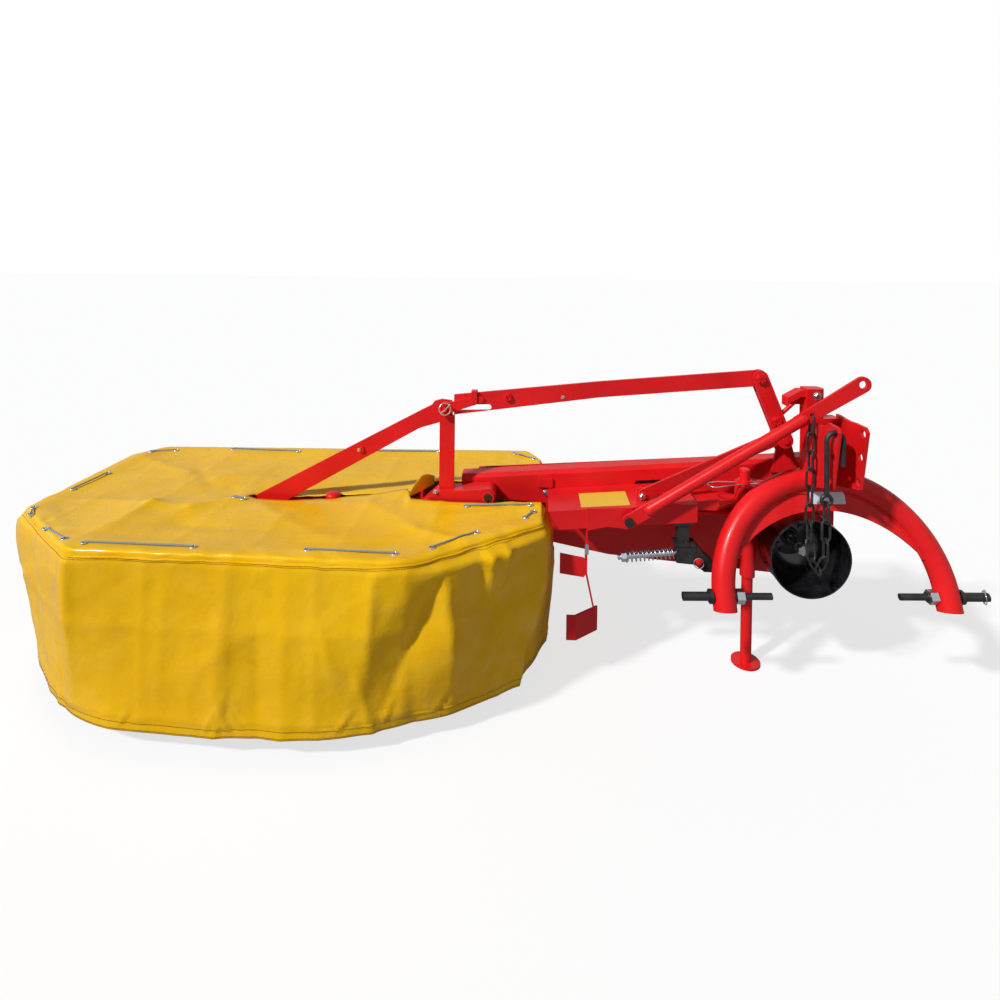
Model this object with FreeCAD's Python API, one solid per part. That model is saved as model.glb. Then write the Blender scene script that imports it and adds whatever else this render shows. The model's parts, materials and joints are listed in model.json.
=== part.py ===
# Two-drum side-mounted mower: headstock, swinging arm, cutting unit with cloth cover.
# Axes: +X is the machine's left, -Y the tractor side, +Z up; millimetres.
# Pieces of the arm and the cutting unit are drawn square to the headstock and then
# trailed back together about the kingpin.
import math
import os
import FreeCAD, Part
from FreeCAD import Vector as V

os.makedirs("parts", exist_ok=True)

# ---- driving dimensions -------------------------------------------------
SEAT = 0.3                # pieces that rest on each other are this far apart
PIN_SPREAD = 750.0        # between the two lower-link tubes, centre to centre
PIN_Z = 389.0             # lower-link pins above the ground
PIN_D, PIN_D_IN = 28.0, 22.0
PIN_OUT, PIN_IN = 138.0, 160.0
BOW_D, BOW_WALL = 76.0, 6.0
BOW_LEAN = 20.0           # the bow leans back by this much
BOW_FOOT = 44.0           # tube below the pins
WEB_T, WEB_SINK = 8.0, 8.0
WEB_CUT_R, WEB_CUT_DROP = 415.6, 147.6    # inner edge of the crescent plate
POST_X, POST_Y0, POST_Y1 = 59.0, 98.0, 150.0
POST_FOOT, POST_NECK, POST_TOP = 735.0, 960.0, 1062.0
CAP_X1 = 5.0              # the narrow top of the post stops here on the left
LINK_D = 25.7             # top-link holes
LINK_HOLES = ((-63.0, 953.0), (-50.0, 874.0), (-41.0, 791.0))
PLATE_X, PLATE_T = 40.0, 10.0
KING_X, KING_Y, KING_D = -235.0, 185.0, 36.0
KING_TOP, KING_BOT = 753.0, 540.0
LUG_HI, LUG_LO, LUG_T = 694.0, 560.0, 12.0
TRAIL = 4.0               # the arm trails back from square when parked
LEG_X, LEG_Y, LEG_D = -192.0, 250.0, 40.0
FOOT_D, FOOT_T = 104.0, 8.0
HOOK_D, HOOK_BEND = 16.0, 27.0
CHAIN_WIRE, CHAIN_PITCH, CHAIN_W = 8.0, 62.0, 34.0
ARM_X0, ARM_X1, ARM_Y0 = -945.0, -430.0, 75.0
ARM_Z0, ARM_RISE, ARM_H = 618.0, 0.084, 64.0
ARM_SKEW = 38.0           # the outer end is cut back towards the bottom
BELT_Y0, BELT_Y1 = 290.0, 375.0
BELT_X0, BELT_X1 = -1277.0, 131.0
BELT_Z0, BELT_RISE = 659.0, 0.0817        # top edge of the belt housing
BELT_END_H, BELT_STEP_X = 78.0, -950.0
PTO_X, PTO_Z, PTO_CUP_D, PTO_D = -33.0, 470.0, 276.0, 35.0
CUP_DEPTH, CUP_BASE_D, CUP_WALL = 190.0, 150.0, 4.0
HINGE_X, HINGE_Z, HINGE_D = -1167.0, 612.0, 30.0
APEX = (-86.0, 852.0)     # crank pivot on the lift frame
CRANK_TOP = (-178.0, 1077.0)
CRANK_MID = (-119.0, 924.0)
CRANK_W, CRANK_Y, CRANK_T, CRANK_GAP = 57.0, 204.0, 8.0, 20.0
APEX_D, TOP_PIN_D = 24.0, 22.0
POST_PIN = (-1334.0, 936.0)
POST_PIN_D = 20.0
POST_EYE_D = POST_PIN_D + 5.0             # the linkage is opened here, so this eye is wide
BAR_W, BAR_T = 59.0, 12.0
STRUT_FOOT = (-606.0, 132.0, 668.0)
STRUT_Y, STRUT_W, STRUT_T = 256.0, 40.0, 10.0
STAY_FOOT = (-669.0, 603.0)
STAY_EYE = (100.0, 1094.0)
STAY_Y, STAY_D, STAY_T = 50.0, 40.0, 12.0
STAY_CHAIN = (-64.0, 989.3)               # hole for the chain in the stay's flat end
UNIT_Y = 255.0            # centre line of the cutting unit
DRUM_PITCH = 825.0
DRUM_X1 = -1492.0         # inner drum
DRUM_X2 = DRUM_X1 - DRUM_PITCH
DRUM_D, DISC_D, SHAFT_D = 330.0, 636.0, 60.0
BLADES, BLADE_W, BLADE_T, BLADE_REACH = 3, 48.0, 4.2, 404.0
BEAM_W, BEAM_H, BEAM_DROP = 120.0, 66.0, 3.0   # the beam lies just under the cover
UPRIGHT_Y, UPRIGHT_W, UPRIGHT_T = 234.0, 57.0, 12.0
COVER_X = (DRUM_X1 + DRUM_X2) / 2.0 - 8.0
COVER_W, COVER_L = 1900.0, 1090.0
COVER_TOP_OUT, COVER_TOP_IN, COVER_HEM = 571.0, 604.0, 70.0
SHELL = 12.0
BEAM_Z1 = min(COVER_TOP_OUT, COVER_TOP_IN) - SHELL - BEAM_DROP
BEAM_Z0 = BEAM_Z1 - BEAM_H
CUT_OUT_X, CUT_OUT_Y = 420.0, 352.0       # corner cuts of the cover: outer front, inner front,
CUT_IN_X, CUT_IN_Y = 400.0, 300.0         # and the two at the back
CUT_BACK_OUT, CUT_BACK_IN, CUT_BACK_Y = 80.0, 54.0, 118.0
LATCH_X = -687.0          # nut of the breakaway latch
GUARD_SHARE = 0.5445      # the guard strip hangs this far from the cover towards the latch
SLIT_Y0, SLIT_Y1 = 200.0, 264.0
RAIL_H, RAIL_T = 22.0, 12.0

NODES = {}


# ---- shapes -------------------------------------------------------------
def box(x0, x1, y0, y1, z0, z1):
    return Part.makeBox(x1 - x0, y1 - y0, z1 - z0, V(x0, y0, z0))


def rounded_box(x0, x1, y0, y1, z0, z1, r, corner=lambda x, y: True):
    """Upright box; the vertical edges that 'corner' picks are rounded."""
    b = box(x0, x1, y0, y1, z0, z1)
    edges = [e for e in b.Edges if abs(e.Vertexes[0].Z - e.Vertexes[1].Z) > 1.0
             and corner(e.Vertexes[0].X, e.Vertexes[0].Y)]
    return b.makeFillet(r, edges)


def poly(points):
    return Part.Face(Part.makePolygon(points + [points[0]]))


def slab_xz(pts, y0, y1):
    return poly([V(x, y0, z) for x, z in pts]).extrude(V(0, y1 - y0, 0))


def slab_yz(pts, x0, x1):
    return poly([V(x0, y, z) for y, z in pts]).extrude(V(x1 - x0, 0, 0))


def slab_xy(pts, z0, z1):
    return poly([V(x, y, z0) for x, y in pts]).extrude(V(0, 0, z1 - z0))


def rod(a, b, d):
    a, b = V(*a), V(*b)
    return Part.makeCylinder(d / 2.0, (b - a).Length, a, b - a)


def disc_y(x, z, d, y0, y1):
    return rod((x, y0, z), (x, y1, z), d)


def bar_xz(p, q, w, y0, y1, w2=None):
    """Flat bar in the XZ plane from p to q, w wide at p and w2 at q, with round ends."""
    w2 = w2 or w
    dx, dz = q[0] - p[0], q[1] - p[1]
    n = math.hypot(dx, dz)
    ux, uz = dx / n, dz / n
    a, b = w / 2.0, w2 / 2.0
    body = slab_xz([(p[0] - uz * a, p[1] + ux * a), (p[0] + uz * a, p[1] - ux * a),
                    (q[0] + uz * b, q[1] - ux * b), (q[0] - uz * b, q[1] + ux * b)], y0, y1)
    return fuse(body, disc_y(p[0], p[1], w, y0, y1), disc_y(q[0], q[1], w2, y0, y1))


def hexagon(x, y, z, flats, t, axis):
    """Nut: centre of one face at (x, y, z), growing by t along the axis 'X', 'Y' or 'Z'."""
    r = flats / math.sqrt(3.0)
    pts = []
    for i in range(6):
        c, s = r * math.cos(math.pi * i / 3), r * math.sin(math.pi * i / 3)
        pts.append({"X": V(x, y + c, z + s), "Y": V(x + c, y, z + s), "Z": V(x + c, y + s, z)}[axis])
    return poly(pts).extrude({"X": V(t, 0, 0), "Y": V(0, t, 0), "Z": V(0, 0, t)}[axis])


def castle_nut(x, y, z, flats, t):
    """Slotted nut on a pin along Y, its face at y and growing towards the tractor."""
    nut = hexagon(x, y, z, flats, -t * 0.6, "Y")
    crown = disc_y(x, z, flats * 0.9, y - t, y - t * 0.6)
    for turn in (0, 60, 120):
        slot = box(x - flats, x + flats, y - t - 1, y - t * 0.65, z - 1.8, z + 1.8)
        slot.rotate(V(x, y, z), V(0, 1, 0), turn)
        crown = crown.cut(slot)
    return fuse(nut, crown)


def fuse(*parts):
    s = parts[0].multiFuse(list(parts[1:])) if len(parts) > 1 else parts[0]
    return s.removeSplitter()


def lean(shape):
    s = shape.copy()
    s.rotate(V(0, 0, PIN_Z), V(1, 0, 0), -BOW_LEAN)
    return s


def swing(shape):
    s = shape.copy()
    s.rotate(V(KING_X, KING_Y, 0), V(0, 0, 1), -TRAIL)
    return s


def swung(x, y):
    """Place in the headstock's frame of a point of the arm."""
    t = math.radians(TRAIL)
    dx, dy = x - KING_X, y - KING_Y
    return (KING_X + dx * math.cos(t) + dy * math.sin(t), KING_Y - dx * math.sin(t) + dy * math.cos(t))


def put(name, shape, on_arm=False):
    NODES[name] = swing(shape) if on_arm else shape


# ---- headstock ----------------------------------------------------------
def bow():
    r = PIN_SPREAD / 2.0
    face = Part.Face(Part.Wire(Part.makeCircle(BOW_D / 2, V(-r, 0, PIN_Z), V(0, 0, 1))))
    arch = face.revolve(V(0, 0, PIN_Z), V(0, 1, 0), 180)
    legs = [Part.makeCylinder(BOW_D / 2, BOW_FOOT, V(s * r, 0, PIN_Z - BOW_FOOT)) for s in (-1, 1)]
    body = fuse(arch, legs[0], legs[1])
    for s in (-1, 1):
        body = body.cut(Part.makeCylinder(BOW_D / 2 - BOW_WALL, BOW_FOOT + 60,
                                          V(s * r, 0, PIN_Z - BOW_FOOT)))
        body = body.cut(rod((s * (r - 60), 0, PIN_Z), (s * (r + 60), 0, PIN_Z), PIN_D + 0.4))
    return lean(body)


def bow_web():
    """Crescent plate inside the bow, up to the tube's inner side."""
    r = PIN_SPREAD / 2.0
    web = Part.makeCylinder(r - BOW_D / 2 + WEB_SINK, WEB_T, V(0, -WEB_T / 2, PIN_Z), V(0, 1, 0))
    web = web.cut(Part.makeCylinder(WEB_CUT_R, 40, V(0, -20, PIN_Z - WEB_CUT_DROP), V(0, 1, 0)))
    return lean(web.cut(box(-500, 500, -50, 50, 0, PIN_Z)))


def link_plate(side):
    """One top-link plate: flat in front, set out to the side of the post behind."""
    joggle, front, back = 31.0, -90.0, POST_Y0 + 12
    a, b = PLATE_X, PLATE_X + PLATE_T
    c, d = POST_X - PLATE_T, POST_X
    plan = [(side * a, front), (side * b, front), (side * b, joggle), (side * d, POST_Y0 - 4),
            (side * d, back), (side * c, back), (side * c, POST_Y0), (side * a, joggle + 3)]
    top, tip, corner = POST_NECK + 16, LINK_HOLES[2][1] - 24, 14.0
    front_top = LINK_HOLES[0][0] - 21
    low = 20.0 if side < 0 else 2.0       # the stay passes over the right-hand plate
    side_view = [(front_top + corner, top), (front_top, top - corner), (LINK_HOLES[2][0] - 12, tip),
                 (back - 14, POST_FOOT - 10), (back, POST_FOOT - 4), (back, top - low), (12, top - low),
                 (-18, top)]
    plate = slab_xy(plan, 600, 1100).common(slab_yz(side_view, -200, 200))
    for y, z in LINK_HOLES:
        plate = plate.cut(rod((-200, y, z), (200, y, z), LINK_D))
    return plate


def post_bracket():
    """Roof-shaped bracket on the right of the post's top, open towards the lift crank."""
    left, low, ridge = -CAP_X1 - 118, POST_TOP - 64, -76.0
    x1, lip, t = -POST_X + 2, 24.0, 6.0
    y0, y1 = POST_Y0 + 8, POST_Y1
    outline = [(left, low + 32), (ridge, POST_TOP - 6), (x1, POST_TOP - 6), (x1, low), (left, low)]
    roof = slab_xz(outline, y0, y1)
    inner = [(left + t, low - 1), (left + t, low + 28), (ridge, POST_TOP - 13), (x1 + 1, POST_TOP - 13),
             (x1 + 1, low - 1)]
    roof = roof.cut(slab_xz(inner, y0 + t, y1 - t))
    window = [(left + 2, low - 1), (left + 2, low + 32 - lip), (ridge, POST_TOP - 6 - lip),
              (x1 + 1, POST_TOP - 6 - lip), (x1 + 1, low - 1)]
    return roof.cut(slab_xz(window, y0 - 1, y0 + t + 1))


def post():
    body = rounded_box(-POST_X, POST_X, POST_Y0, POST_Y1, POST_FOOT, POST_NECK, 8)
    cap = rounded_box(-POST_X, CAP_X1, POST_Y0, POST_Y1, POST_NECK - 20, POST_TOP, 16, lambda x, y: x > 0)
    return fuse(body, cap, post_bracket(), link_plate(-1), link_plate(1))


def king_lugs():
    """Upper and lower lug for the kingpin, with the sleeve of the parking leg."""
    px, py = -POST_X + 12, (POST_Y0 + POST_Y1) / 2
    hi = slab_xy([(px, py - 22), (px, py + 26), (KING_X + 20, KING_Y + 41), (KING_X - 27, KING_Y + 29),
                  (KING_X - 37, KING_Y - 10), (KING_X, KING_Y - 43), (KING_X + 65, KING_Y - 85)],
                 LUG_HI, LUG_HI + LUG_T)
    lo = slab_xy([(KING_X - 103, 40), (KING_X - 65, 40), (-160, KING_Y), (-160, LEG_Y + 22),
                  (-226, LEG_Y + 22),
                  (KING_X - 37, KING_Y + 29), (KING_X - 50, KING_Y - 25)],
                 LUG_LO, LUG_LO + LUG_T)
    sleeve = rod((LEG_X, LEG_Y, 330), (LEG_X, LEG_Y, LUG_LO), LEG_D + 14)
    body = fuse(hi, lo, sleeve)
    body = body.cut(rod((KING_X, KING_Y, 500), (KING_X, KING_Y, 800), KING_D + 0.4))
    return body.cut(rod((LEG_X, LEG_Y, 300), (LEG_X, LEG_Y, 600), LEG_D + 0.16))


def lower_pins():
    """Stepped hitch pins: category 2 outside, category 1 inside, each held by a nut."""
    r = PIN_SPREAD / 2.0
    collar_d, step, nut_t = 46.0, 70.0, 26.0
    wall = BOW_D / 2 + 1
    for s, nm in ((-1, "right"), (1, "left")):
        end = s * (r + PIN_OUT)
        pin = rod((end, 0, PIN_Z), (s * (r - step), 0, PIN_Z), PIN_D)
        tail = rod((s * (r - step), 0, PIN_Z), (s * (r - PIN_IN), 0, PIN_Z), PIN_D_IN)
        collar = rod((s * (r + wall), 0, PIN_Z), (s * (r + wall + 11), 0, PIN_Z), collar_d)
        put("lower_pin_" + nm, fuse(pin, tail, collar))
        nut = hexagon(s * (r - wall), 0, PIN_Z, 41, -s * nut_t, "X")
        put("lower_nut_" + nm, nut.cut(rod((0, 0, PIN_Z), (s * 600, 0, PIN_Z), PIN_D + 0.1)))


def headstock():
    tube = bow()
    upright = post().cut(tube)
    web = bow_web().cut(tube).cut(upright)
    put("headstock_bow", tube)
    put("headstock_post", upright)
    put("headstock_web", web)
    put("arm_bracket", king_lugs().cut(tube).cut(upright).cut(web))
    lower_pins()
    king = fuse(rod((KING_X, KING_Y, KING_BOT), (KING_X, KING_Y, KING_TOP - 4), KING_D),
                Part.makeCone(KING_D / 2, KING_D / 2 - 4, 4, V(KING_X, KING_Y, KING_TOP - 4)),
                rod((KING_X, KING_Y, LUG_HI + LUG_T + SEAT), (KING_X, KING_Y, LUG_HI + LUG_T + 8),
                    KING_D + 14))
    put("kingpin", king)


def leg():
    tube = rod((LEG_X, LEG_Y, FOOT_T), (LEG_X, LEG_Y, LUG_LO - 4), LEG_D)
    put("support_leg", fuse(tube, rod((LEG_X, LEG_Y, 0), (LEG_X, LEG_Y, FOOT_T), FOOT_D)))


# ---- hook and chain -----------------------------------------------------
def chain_link(top, toward, flat):
    """Faceted link whose inner ends are CHAIN_PITCH apart: from 'top' along the unit
    vector 'toward', lying in the plane of 'toward' and 'flat'."""
    k, half = CHAIN_WIRE / 2.0, (CHAIN_W - CHAIN_WIRE) / 2.0
    straight = CHAIN_PITCH + CHAIN_WIRE - 2 * half
    side = toward.cross(flat)
    path = []
    for end in (1, -1):
        for i in range(5):
            a = math.radians(45 * i) if end == 1 else math.radians(180 + 45 * i)
            path.append((half * math.cos(a), end * straight / 2 + half * math.sin(a)))
    rings = []
    for i, (u, v) in enumerate(path):
        (u0, v0), (u1, v1) = path[i - 1], path[(i + 1) % len(path)]
        d0, d1 = V(u - u0, v - v0, 0).normalize(), V(u1 - u, v1 - v, 0).normalize()
        mean = (d0 + d1).normalize()
        out, wide = V(mean.y, -mean.x, 0), 1.0 / max(0.5, mean.dot(d0))
        ring = []
        for j in range(8):
            a = math.radians(45 * j + 22.5)
            c, s = k * wide * math.cos(a), k * math.sin(a)
            ring.append(V(u + out.x * c, v + out.y * c, s))
        rings.append(ring)
    centre = top + toward * (CHAIN_PITCH / 2.0)
    place = [[centre + flat * p.x - toward * p.y + side * p.z for p in ring] for ring in rings]
    faces = []
    for i, ring in enumerate(place):
        after = place[(i + 1) % len(place)]
        for j in range(8):
            m = (j + 1) % 8
            faces.append(poly([ring[j], ring[m], after[m], after[j]]))
    link = Part.Solid(Part.Shell(faces))
    if link.Volume < 0:
        link.reverse()
    return link


def chain_route():
    """Hanging directions of the links, in degrees from straight down towards the tractor."""
    return [0.0] * 7 + [15.0, 82.0, 150.0] + [180.0] * 3


def hook_and_chain():
    """The chain hangs in a hole of the stay's flat end and drops to the hook, which hangs
    by its bend in the top hole of the right-hand plate."""
    k, half = CHAIN_WIRE / 2, (CHAIN_W - CHAIN_WIRE) / 2
    slack = 1.6           # lets the faceted wires lie in each other's bends
    x, y = swung(STAY_CHAIN[0], STAY_Y)
    p, links, across = V(x, y, STAY_CHAIN[1] - 4.9), [], V(1, 0, 0)
    way = [V(0, -math.sin(math.radians(a)), -math.cos(math.radians(a))) for a in chain_route()]
    for i, toward in enumerate(way):
        upright = i % 2 == 0
        links.append(chain_link(p, toward, toward.cross(across) if upright else across))
        after = way[min(i + 1, len(way) - 1)]
        wire = p + toward * (CHAIN_PITCH + k)
        if upright:
            p = wire - toward * half + after * (half - k - slack)
        else:
            p = wire + toward * (half - 2 * k - slack) - after * (half - k)
    put("chain", Part.makeCompound(links))
    hole_y, hole_z = LINK_HOLES[0]
    xm = -(PLATE_X + PLATE_T / 2) - 5
    x_long, x_short = xm - HOOK_BEND, xm + HOOK_BEND
    bend_z = hole_z + (LINK_D - HOOK_D) / 2 - SEAT - HOOK_BEND
    eye_r, eye_wire = 16.0, 12.0
    eye_z = p.z + eye_r - eye_wire / 2 + slack - 0.95
    hook_y = p.y
    profile = Part.Face(Part.Wire(Part.makeCircle(HOOK_D / 2, V(x_short, hook_y, bend_z), V(0, 0, 1))))
    bend = profile.revolve(V(xm, hook_y, bend_z), V(0, -1, 0), 180)
    short = rod((x_short, hook_y, bend_z), (x_short, hook_y, bend_z - 82), HOOK_D)
    long_limb = rod((x_long, hook_y, bend_z), (p.x, hook_y, eye_z + eye_r - 2), HOOK_D)
    knuckle = Part.makeSphere(HOOK_D / 2, V(x_long, hook_y, bend_z))
    eye = Part.makeTorus(eye_r, eye_wire / 2, V(p.x, hook_y, eye_z), V(0, 1, 0))
    put("hook", fuse(bend, short, knuckle, long_limb, eye))


# ---- arm ----------------------------------------------------------------
def arm_top(x):
    return ARM_Z0 + (x - ARM_X0) * ARM_RISE


def arm_under(x):
    slope = (arm_top(ARM_X1) - ARM_Z0) / (ARM_X1 - ARM_X0 - ARM_SKEW)
    return ARM_Z0 - ARM_H + (x - ARM_X0 - ARM_SKEW) * slope


def oblique(shape):
    """From the strut's own frame (foot on -X, top at the origin) to its place on the arm."""
    s = shape.copy()
    turn = math.degrees(math.atan2(STRUT_Y - STRUT_FOOT[1], APEX[0] - STRUT_FOOT[0]))
    s.rotate(V(0, 0, 0), V(0, 0, 1), turn)
    s.translate(V(APEX[0], STRUT_Y, 0))
    return s


def strut_run():
    return math.hypot(APEX[0] - STRUT_FOOT[0], STRUT_Y - STRUT_FOOT[1])


def arm():
    y1, wall = BELT_Y0 - SEAT, 6.0
    z0, z1 = ARM_Z0, arm_top(ARM_X1)
    beam = slab_xz([(ARM_X0, z0), (ARM_X1, z1), (ARM_X1, z1 - ARM_H), (ARM_X0 + ARM_SKEW, z0 - ARM_H)],
                   ARM_Y0, y1)
    inner = [(ARM_X0 + 12, z0 - wall), (ARM_X1 - wall, z1 - wall), (ARM_X1 - wall, z1 - ARM_H - 9),
             (ARM_X0 + ARM_SKEW + wall, z0 - ARM_H - 9)]
    beam = beam.cut(slab_xz(inner, ARM_Y0 + wall, y1 - wall))
    x0, x1 = -811.0, STAY_FOOT[0] + 26
    cheek = slab_xz([(x0, arm_top(x0) + 5), (x1 - 8, arm_top(x1)), (x1, arm_top(x1) - 38),
                     (x1 - 28, arm_top(x1) - 76),
                     (x1 - 96, arm_top(x1) - 70), (x0, arm_top(x0) - 72)], ARM_Y0 - wall, ARM_Y0)
    ears = []
    for z in (LUG_LO + LUG_T + 30, LUG_HI - 60):
        ears.append(slab_xy([(-560, ARM_Y0 + 5), (-470, 120), (KING_X, KING_Y - 36), (KING_X, KING_Y + 36),
                             (ARM_X1 - 10, y1 - 4), (-560, y1 - 4)], z, z + 10))
    lip = slab_xz([(-575, 607), (-497, 653), (-352, 673), (-352, 643), (-488, 622), (-500, 606),
                   (-575, 592)], 92, 100)
    web = slab_xy([(-497, 92), (-360, 92), (-272, KING_Y - 34), (-420, 180), (-497, 180)], 634, 644)
    hub = rod((KING_X, KING_Y, LUG_LO + LUG_T + 0.6), (KING_X, KING_Y, LUG_HI - 0.6), KING_D + 34)
    foot = STRUT_FOOT[2]
    lug = box(-strut_run() - 22, -strut_run() + 22, STRUT_T / 2 + SEAT, STRUT_T / 2 + SEAT + 8, foot - 40,
              foot + 20)
    body = fuse(beam, cheek, hub, lip, web, oblique(lug), *ears)
    put("arm_beam", body.cut(rod((KING_X, KING_Y, 500), (KING_X, KING_Y, 800), KING_D + 0.1)), True)


def belt_top(x):
    return BELT_Z0 + (x - BELT_X0) * BELT_RISE


def belt_housing():
    bevel, corner = 14.0, 62.0
    drop = PTO_Z - PTO_CUP_D / 2 - 8
    pts = [(BELT_X0, BELT_Z0), (BELT_X1 - corner, belt_top(BELT_X1 - corner)),
           (BELT_X1, belt_top(BELT_X1) - corner),
           (BELT_X1, drop + corner), (BELT_X1 - corner, drop), (PTO_X - 50, drop), (-709, drop + 47),
           (BELT_STEP_X + 30, drop + 86), (BELT_STEP_X, drop + 104),
           (BELT_STEP_X, BELT_Z0 - BELT_END_H - 20),
           (BELT_X0, BELT_Z0 - BELT_END_H)]
    body = slab_xz(pts, BELT_Y0, BELT_Y1)
    length = BELT_X1 - corner - BELT_X0
    edges = [e for e in body.Edges if e.Length > length and e.Vertexes[0].Z > BELT_Z0 - 1
             and abs(e.Vertexes[0].Y - e.Vertexes[1].Y) < 1]
    body = body.makeChamfer(bevel, edges)
    sx = -599.0
    slot = bar_xz((sx, belt_top(sx) - 69), (sx + 84, belt_top(sx) - 62), 27, BELT_Y0 - 1, BELT_Y0 + 12)
    lug_x = BELT_STEP_X
    lug = box(lug_x - 30, lug_x + 26, BELT_Y0 - 8, BELT_Y0, arm_top(lug_x) + 6, arm_top(lug_x) + 40)
    seam = [(x, z) for x, z in ((BELT_X0 + 60, BELT_Z0 + 6), (BELT_X1 - 80, belt_top(BELT_X1) - 16),
                                (BELT_X1 - 30, drop + 80), (-200, drop + 40), (BELT_X0 + 60, BELT_Z0 - 60))]
    cover_plate = slab_xz(seam, BELT_Y1, BELT_Y1 + 4)
    body = fuse(body.cut(slot), lug, cover_plate)
    body = body.cut(disc_y(PTO_X, PTO_Z, PTO_D + 0.1, BELT_Y0 - 1, BELT_Y0 + 66))
    pin = fuse(disc_y(HINGE_X, HINGE_Z, HINGE_D, UNIT_Y - 56, BELT_Y0),
               disc_y(HINGE_X, HINGE_Z, HINGE_D + 18, UNIT_Y - 62, UNIT_Y - 56))
    put("belt_housing", fuse(body, pin), True)


def bowl(inset):
    """Half section of the PTO guard revolved about its axis; 'inset' thins it inwards."""
    y0, r0, r1 = BELT_Y0 - SEAT - inset, CUP_BASE_D / 2 - inset, PTO_CUP_D / 2 - inset
    mouth = y0 - CUP_DEPTH - (0.0 if inset == 0 else 1.0)
    shoulder = y0 - CUP_DEPTH * 0.62
    start, end = V(PTO_X + r0, y0, PTO_Z), V(PTO_X + r1, shoulder, PTO_Z)
    bulge = V(PTO_X + r0 + (r1 - r0) * 0.76, y0 - CUP_DEPTH * 0.20, PTO_Z)
    axis_near, axis_far = V(PTO_X, mouth, PTO_Z), V(PTO_X, y0, PTO_Z)
    lip = V(PTO_X + r1, mouth, PTO_Z)
    edges = [Part.makeLine(axis_far, start), Part.Arc(start, bulge, end).toShape(), Part.makeLine(end, lip),
             Part.makeLine(lip, axis_near), Part.makeLine(axis_near, axis_far)]
    return Part.Face(Part.Wire(edges)).revolve(V(PTO_X, 0, PTO_Z), V(0, 1, 0), 360)


def pto():
    base = BELT_Y0 - SEAT - CUP_WALL
    cup = bowl(0.0).cut(bowl(CUP_WALL))
    cup = cup.cut(disc_y(PTO_X, PTO_Z, PTO_D + 25, base - 60, BELT_Y0))
    heads = []
    for i in range(4):
        a = math.radians(40 + 90 * i)
        r = CUP_BASE_D / 2 - 22
        heads.append(hexagon(PTO_X + r * math.cos(a), base, PTO_Z + r * math.sin(a), 17, -7, "Y"))
    put("pto_guard", fuse(cup, *heads), True)
    root, y0, y1 = PTO_D - 5.6, base - 124, BELT_Y0 + 58
    keys = []
    for i in range(6):
        key = box(PTO_X - 4.35, PTO_X + 4.35, y0, base - 30, PTO_Z + 8, PTO_Z + PTO_D / 2 - 0.05)
        key.rotate(V(PTO_X, 0, PTO_Z), V(0, 1, 0), 60 * i)
        keys.append(key)
    stub = fuse(disc_y(PTO_X, PTO_Z, root, y0, y1), disc_y(PTO_X, PTO_Z, PTO_D, base - 30, y1), *keys)
    groove = disc_y(PTO_X, PTO_Z, PTO_D + 8, y0 + 24, y0 + 31)
    groove = groove.cut(disc_y(PTO_X, PTO_Z, PTO_D - 6.5, 0, 400))
    put("pto_stub", stub.cut(groove), True)


def lift_frame():
    """Tapered plate on the belt housing and an oblique strut, carrying the crank's pivot."""
    y1 = BELT_Y0 - SEAT
    ax, az = APEX
    foot_z = belt_top(ax) - 46
    plate = slab_xz([(ax - 26, az + 12), (ax - 12, az + 26), (ax + 14, az + 26), (ax + 44, az - 6),
                     (ax + 84, foot_z), (ax - 22, foot_z), (ax - 4, az - 58), (ax - 26, az - 12)],
                     y1 - 12, y1)
    strut = bar_xz((-strut_run(), STRUT_FOOT[2]), (0, az), STRUT_W, -STRUT_T / 2, STRUT_T / 2, CRANK_W - 4)
    strut = oblique(strut).cut(box(ax - 60, ax + 60, y1 - 13, y1 + 40, az - 60, az + 60))
    bolt = oblique(fuse(disc_y(-strut_run(), STRUT_FOOT[2], 18, -STRUT_T / 2 - 5, -STRUT_T / 2),
                        disc_y(-strut_run(), STRUT_FOOT[2], 12, -STRUT_T / 2 - 9, -STRUT_T / 2)))
    pin = disc_y(ax, az, APEX_D, CRANK_Y - 7, y1 - 12)
    put("lift_frame", fuse(plate, strut, bolt, pin), True)


def crank():
    """Two plates on three pins; the lift bar and the link rod work between them."""
    body = []
    for y in (CRANK_Y, CRANK_Y + CRANK_T + CRANK_GAP):
        body.append(bar_xz(APEX, CRANK_TOP, CRANK_W, y, y + CRANK_T))
    far = CRANK_Y + 2 * CRANK_T + CRANK_GAP
    body.append(disc_y(CRANK_TOP[0], CRANK_TOP[1], TOP_PIN_D, CRANK_Y - 12, far + 5))
    body.append(castle_nut(CRANK_TOP[0], CRANK_Y, CRANK_TOP[1], 32, 15))
    body.append(disc_y(CRANK_MID[0], CRANK_MID[1], TOP_PIN_D, CRANK_Y - 12, far + 5))
    body.append(castle_nut(CRANK_MID[0], CRANK_Y, CRANK_MID[1], 32, 15))
    plates = fuse(*body)
    put("lift_crank", plates.cut(disc_y(APEX[0], APEX[1], APEX_D + 0.1, 150, 300)), True)
    y, shank_d = CRANK_Y + CRANK_T + CRANK_GAP / 2, 16.0
    end = (CRANK_MID[0] + 92, y, CRANK_MID[1] + 90)
    eye = disc_y(CRANK_MID[0], CRANK_MID[1], 42, y - BAR_T / 2, y + BAR_T / 2)
    shank = rod((CRANK_MID[0], y, CRANK_MID[1]), end, shank_d)
    body = fuse(eye, shank, Part.makeSphere(shank_d / 2, V(*end)))
    put("lift_link", body.cut(disc_y(CRANK_MID[0], CRANK_MID[1], TOP_PIN_D + 0.2, 150, 300)), True)


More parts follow.
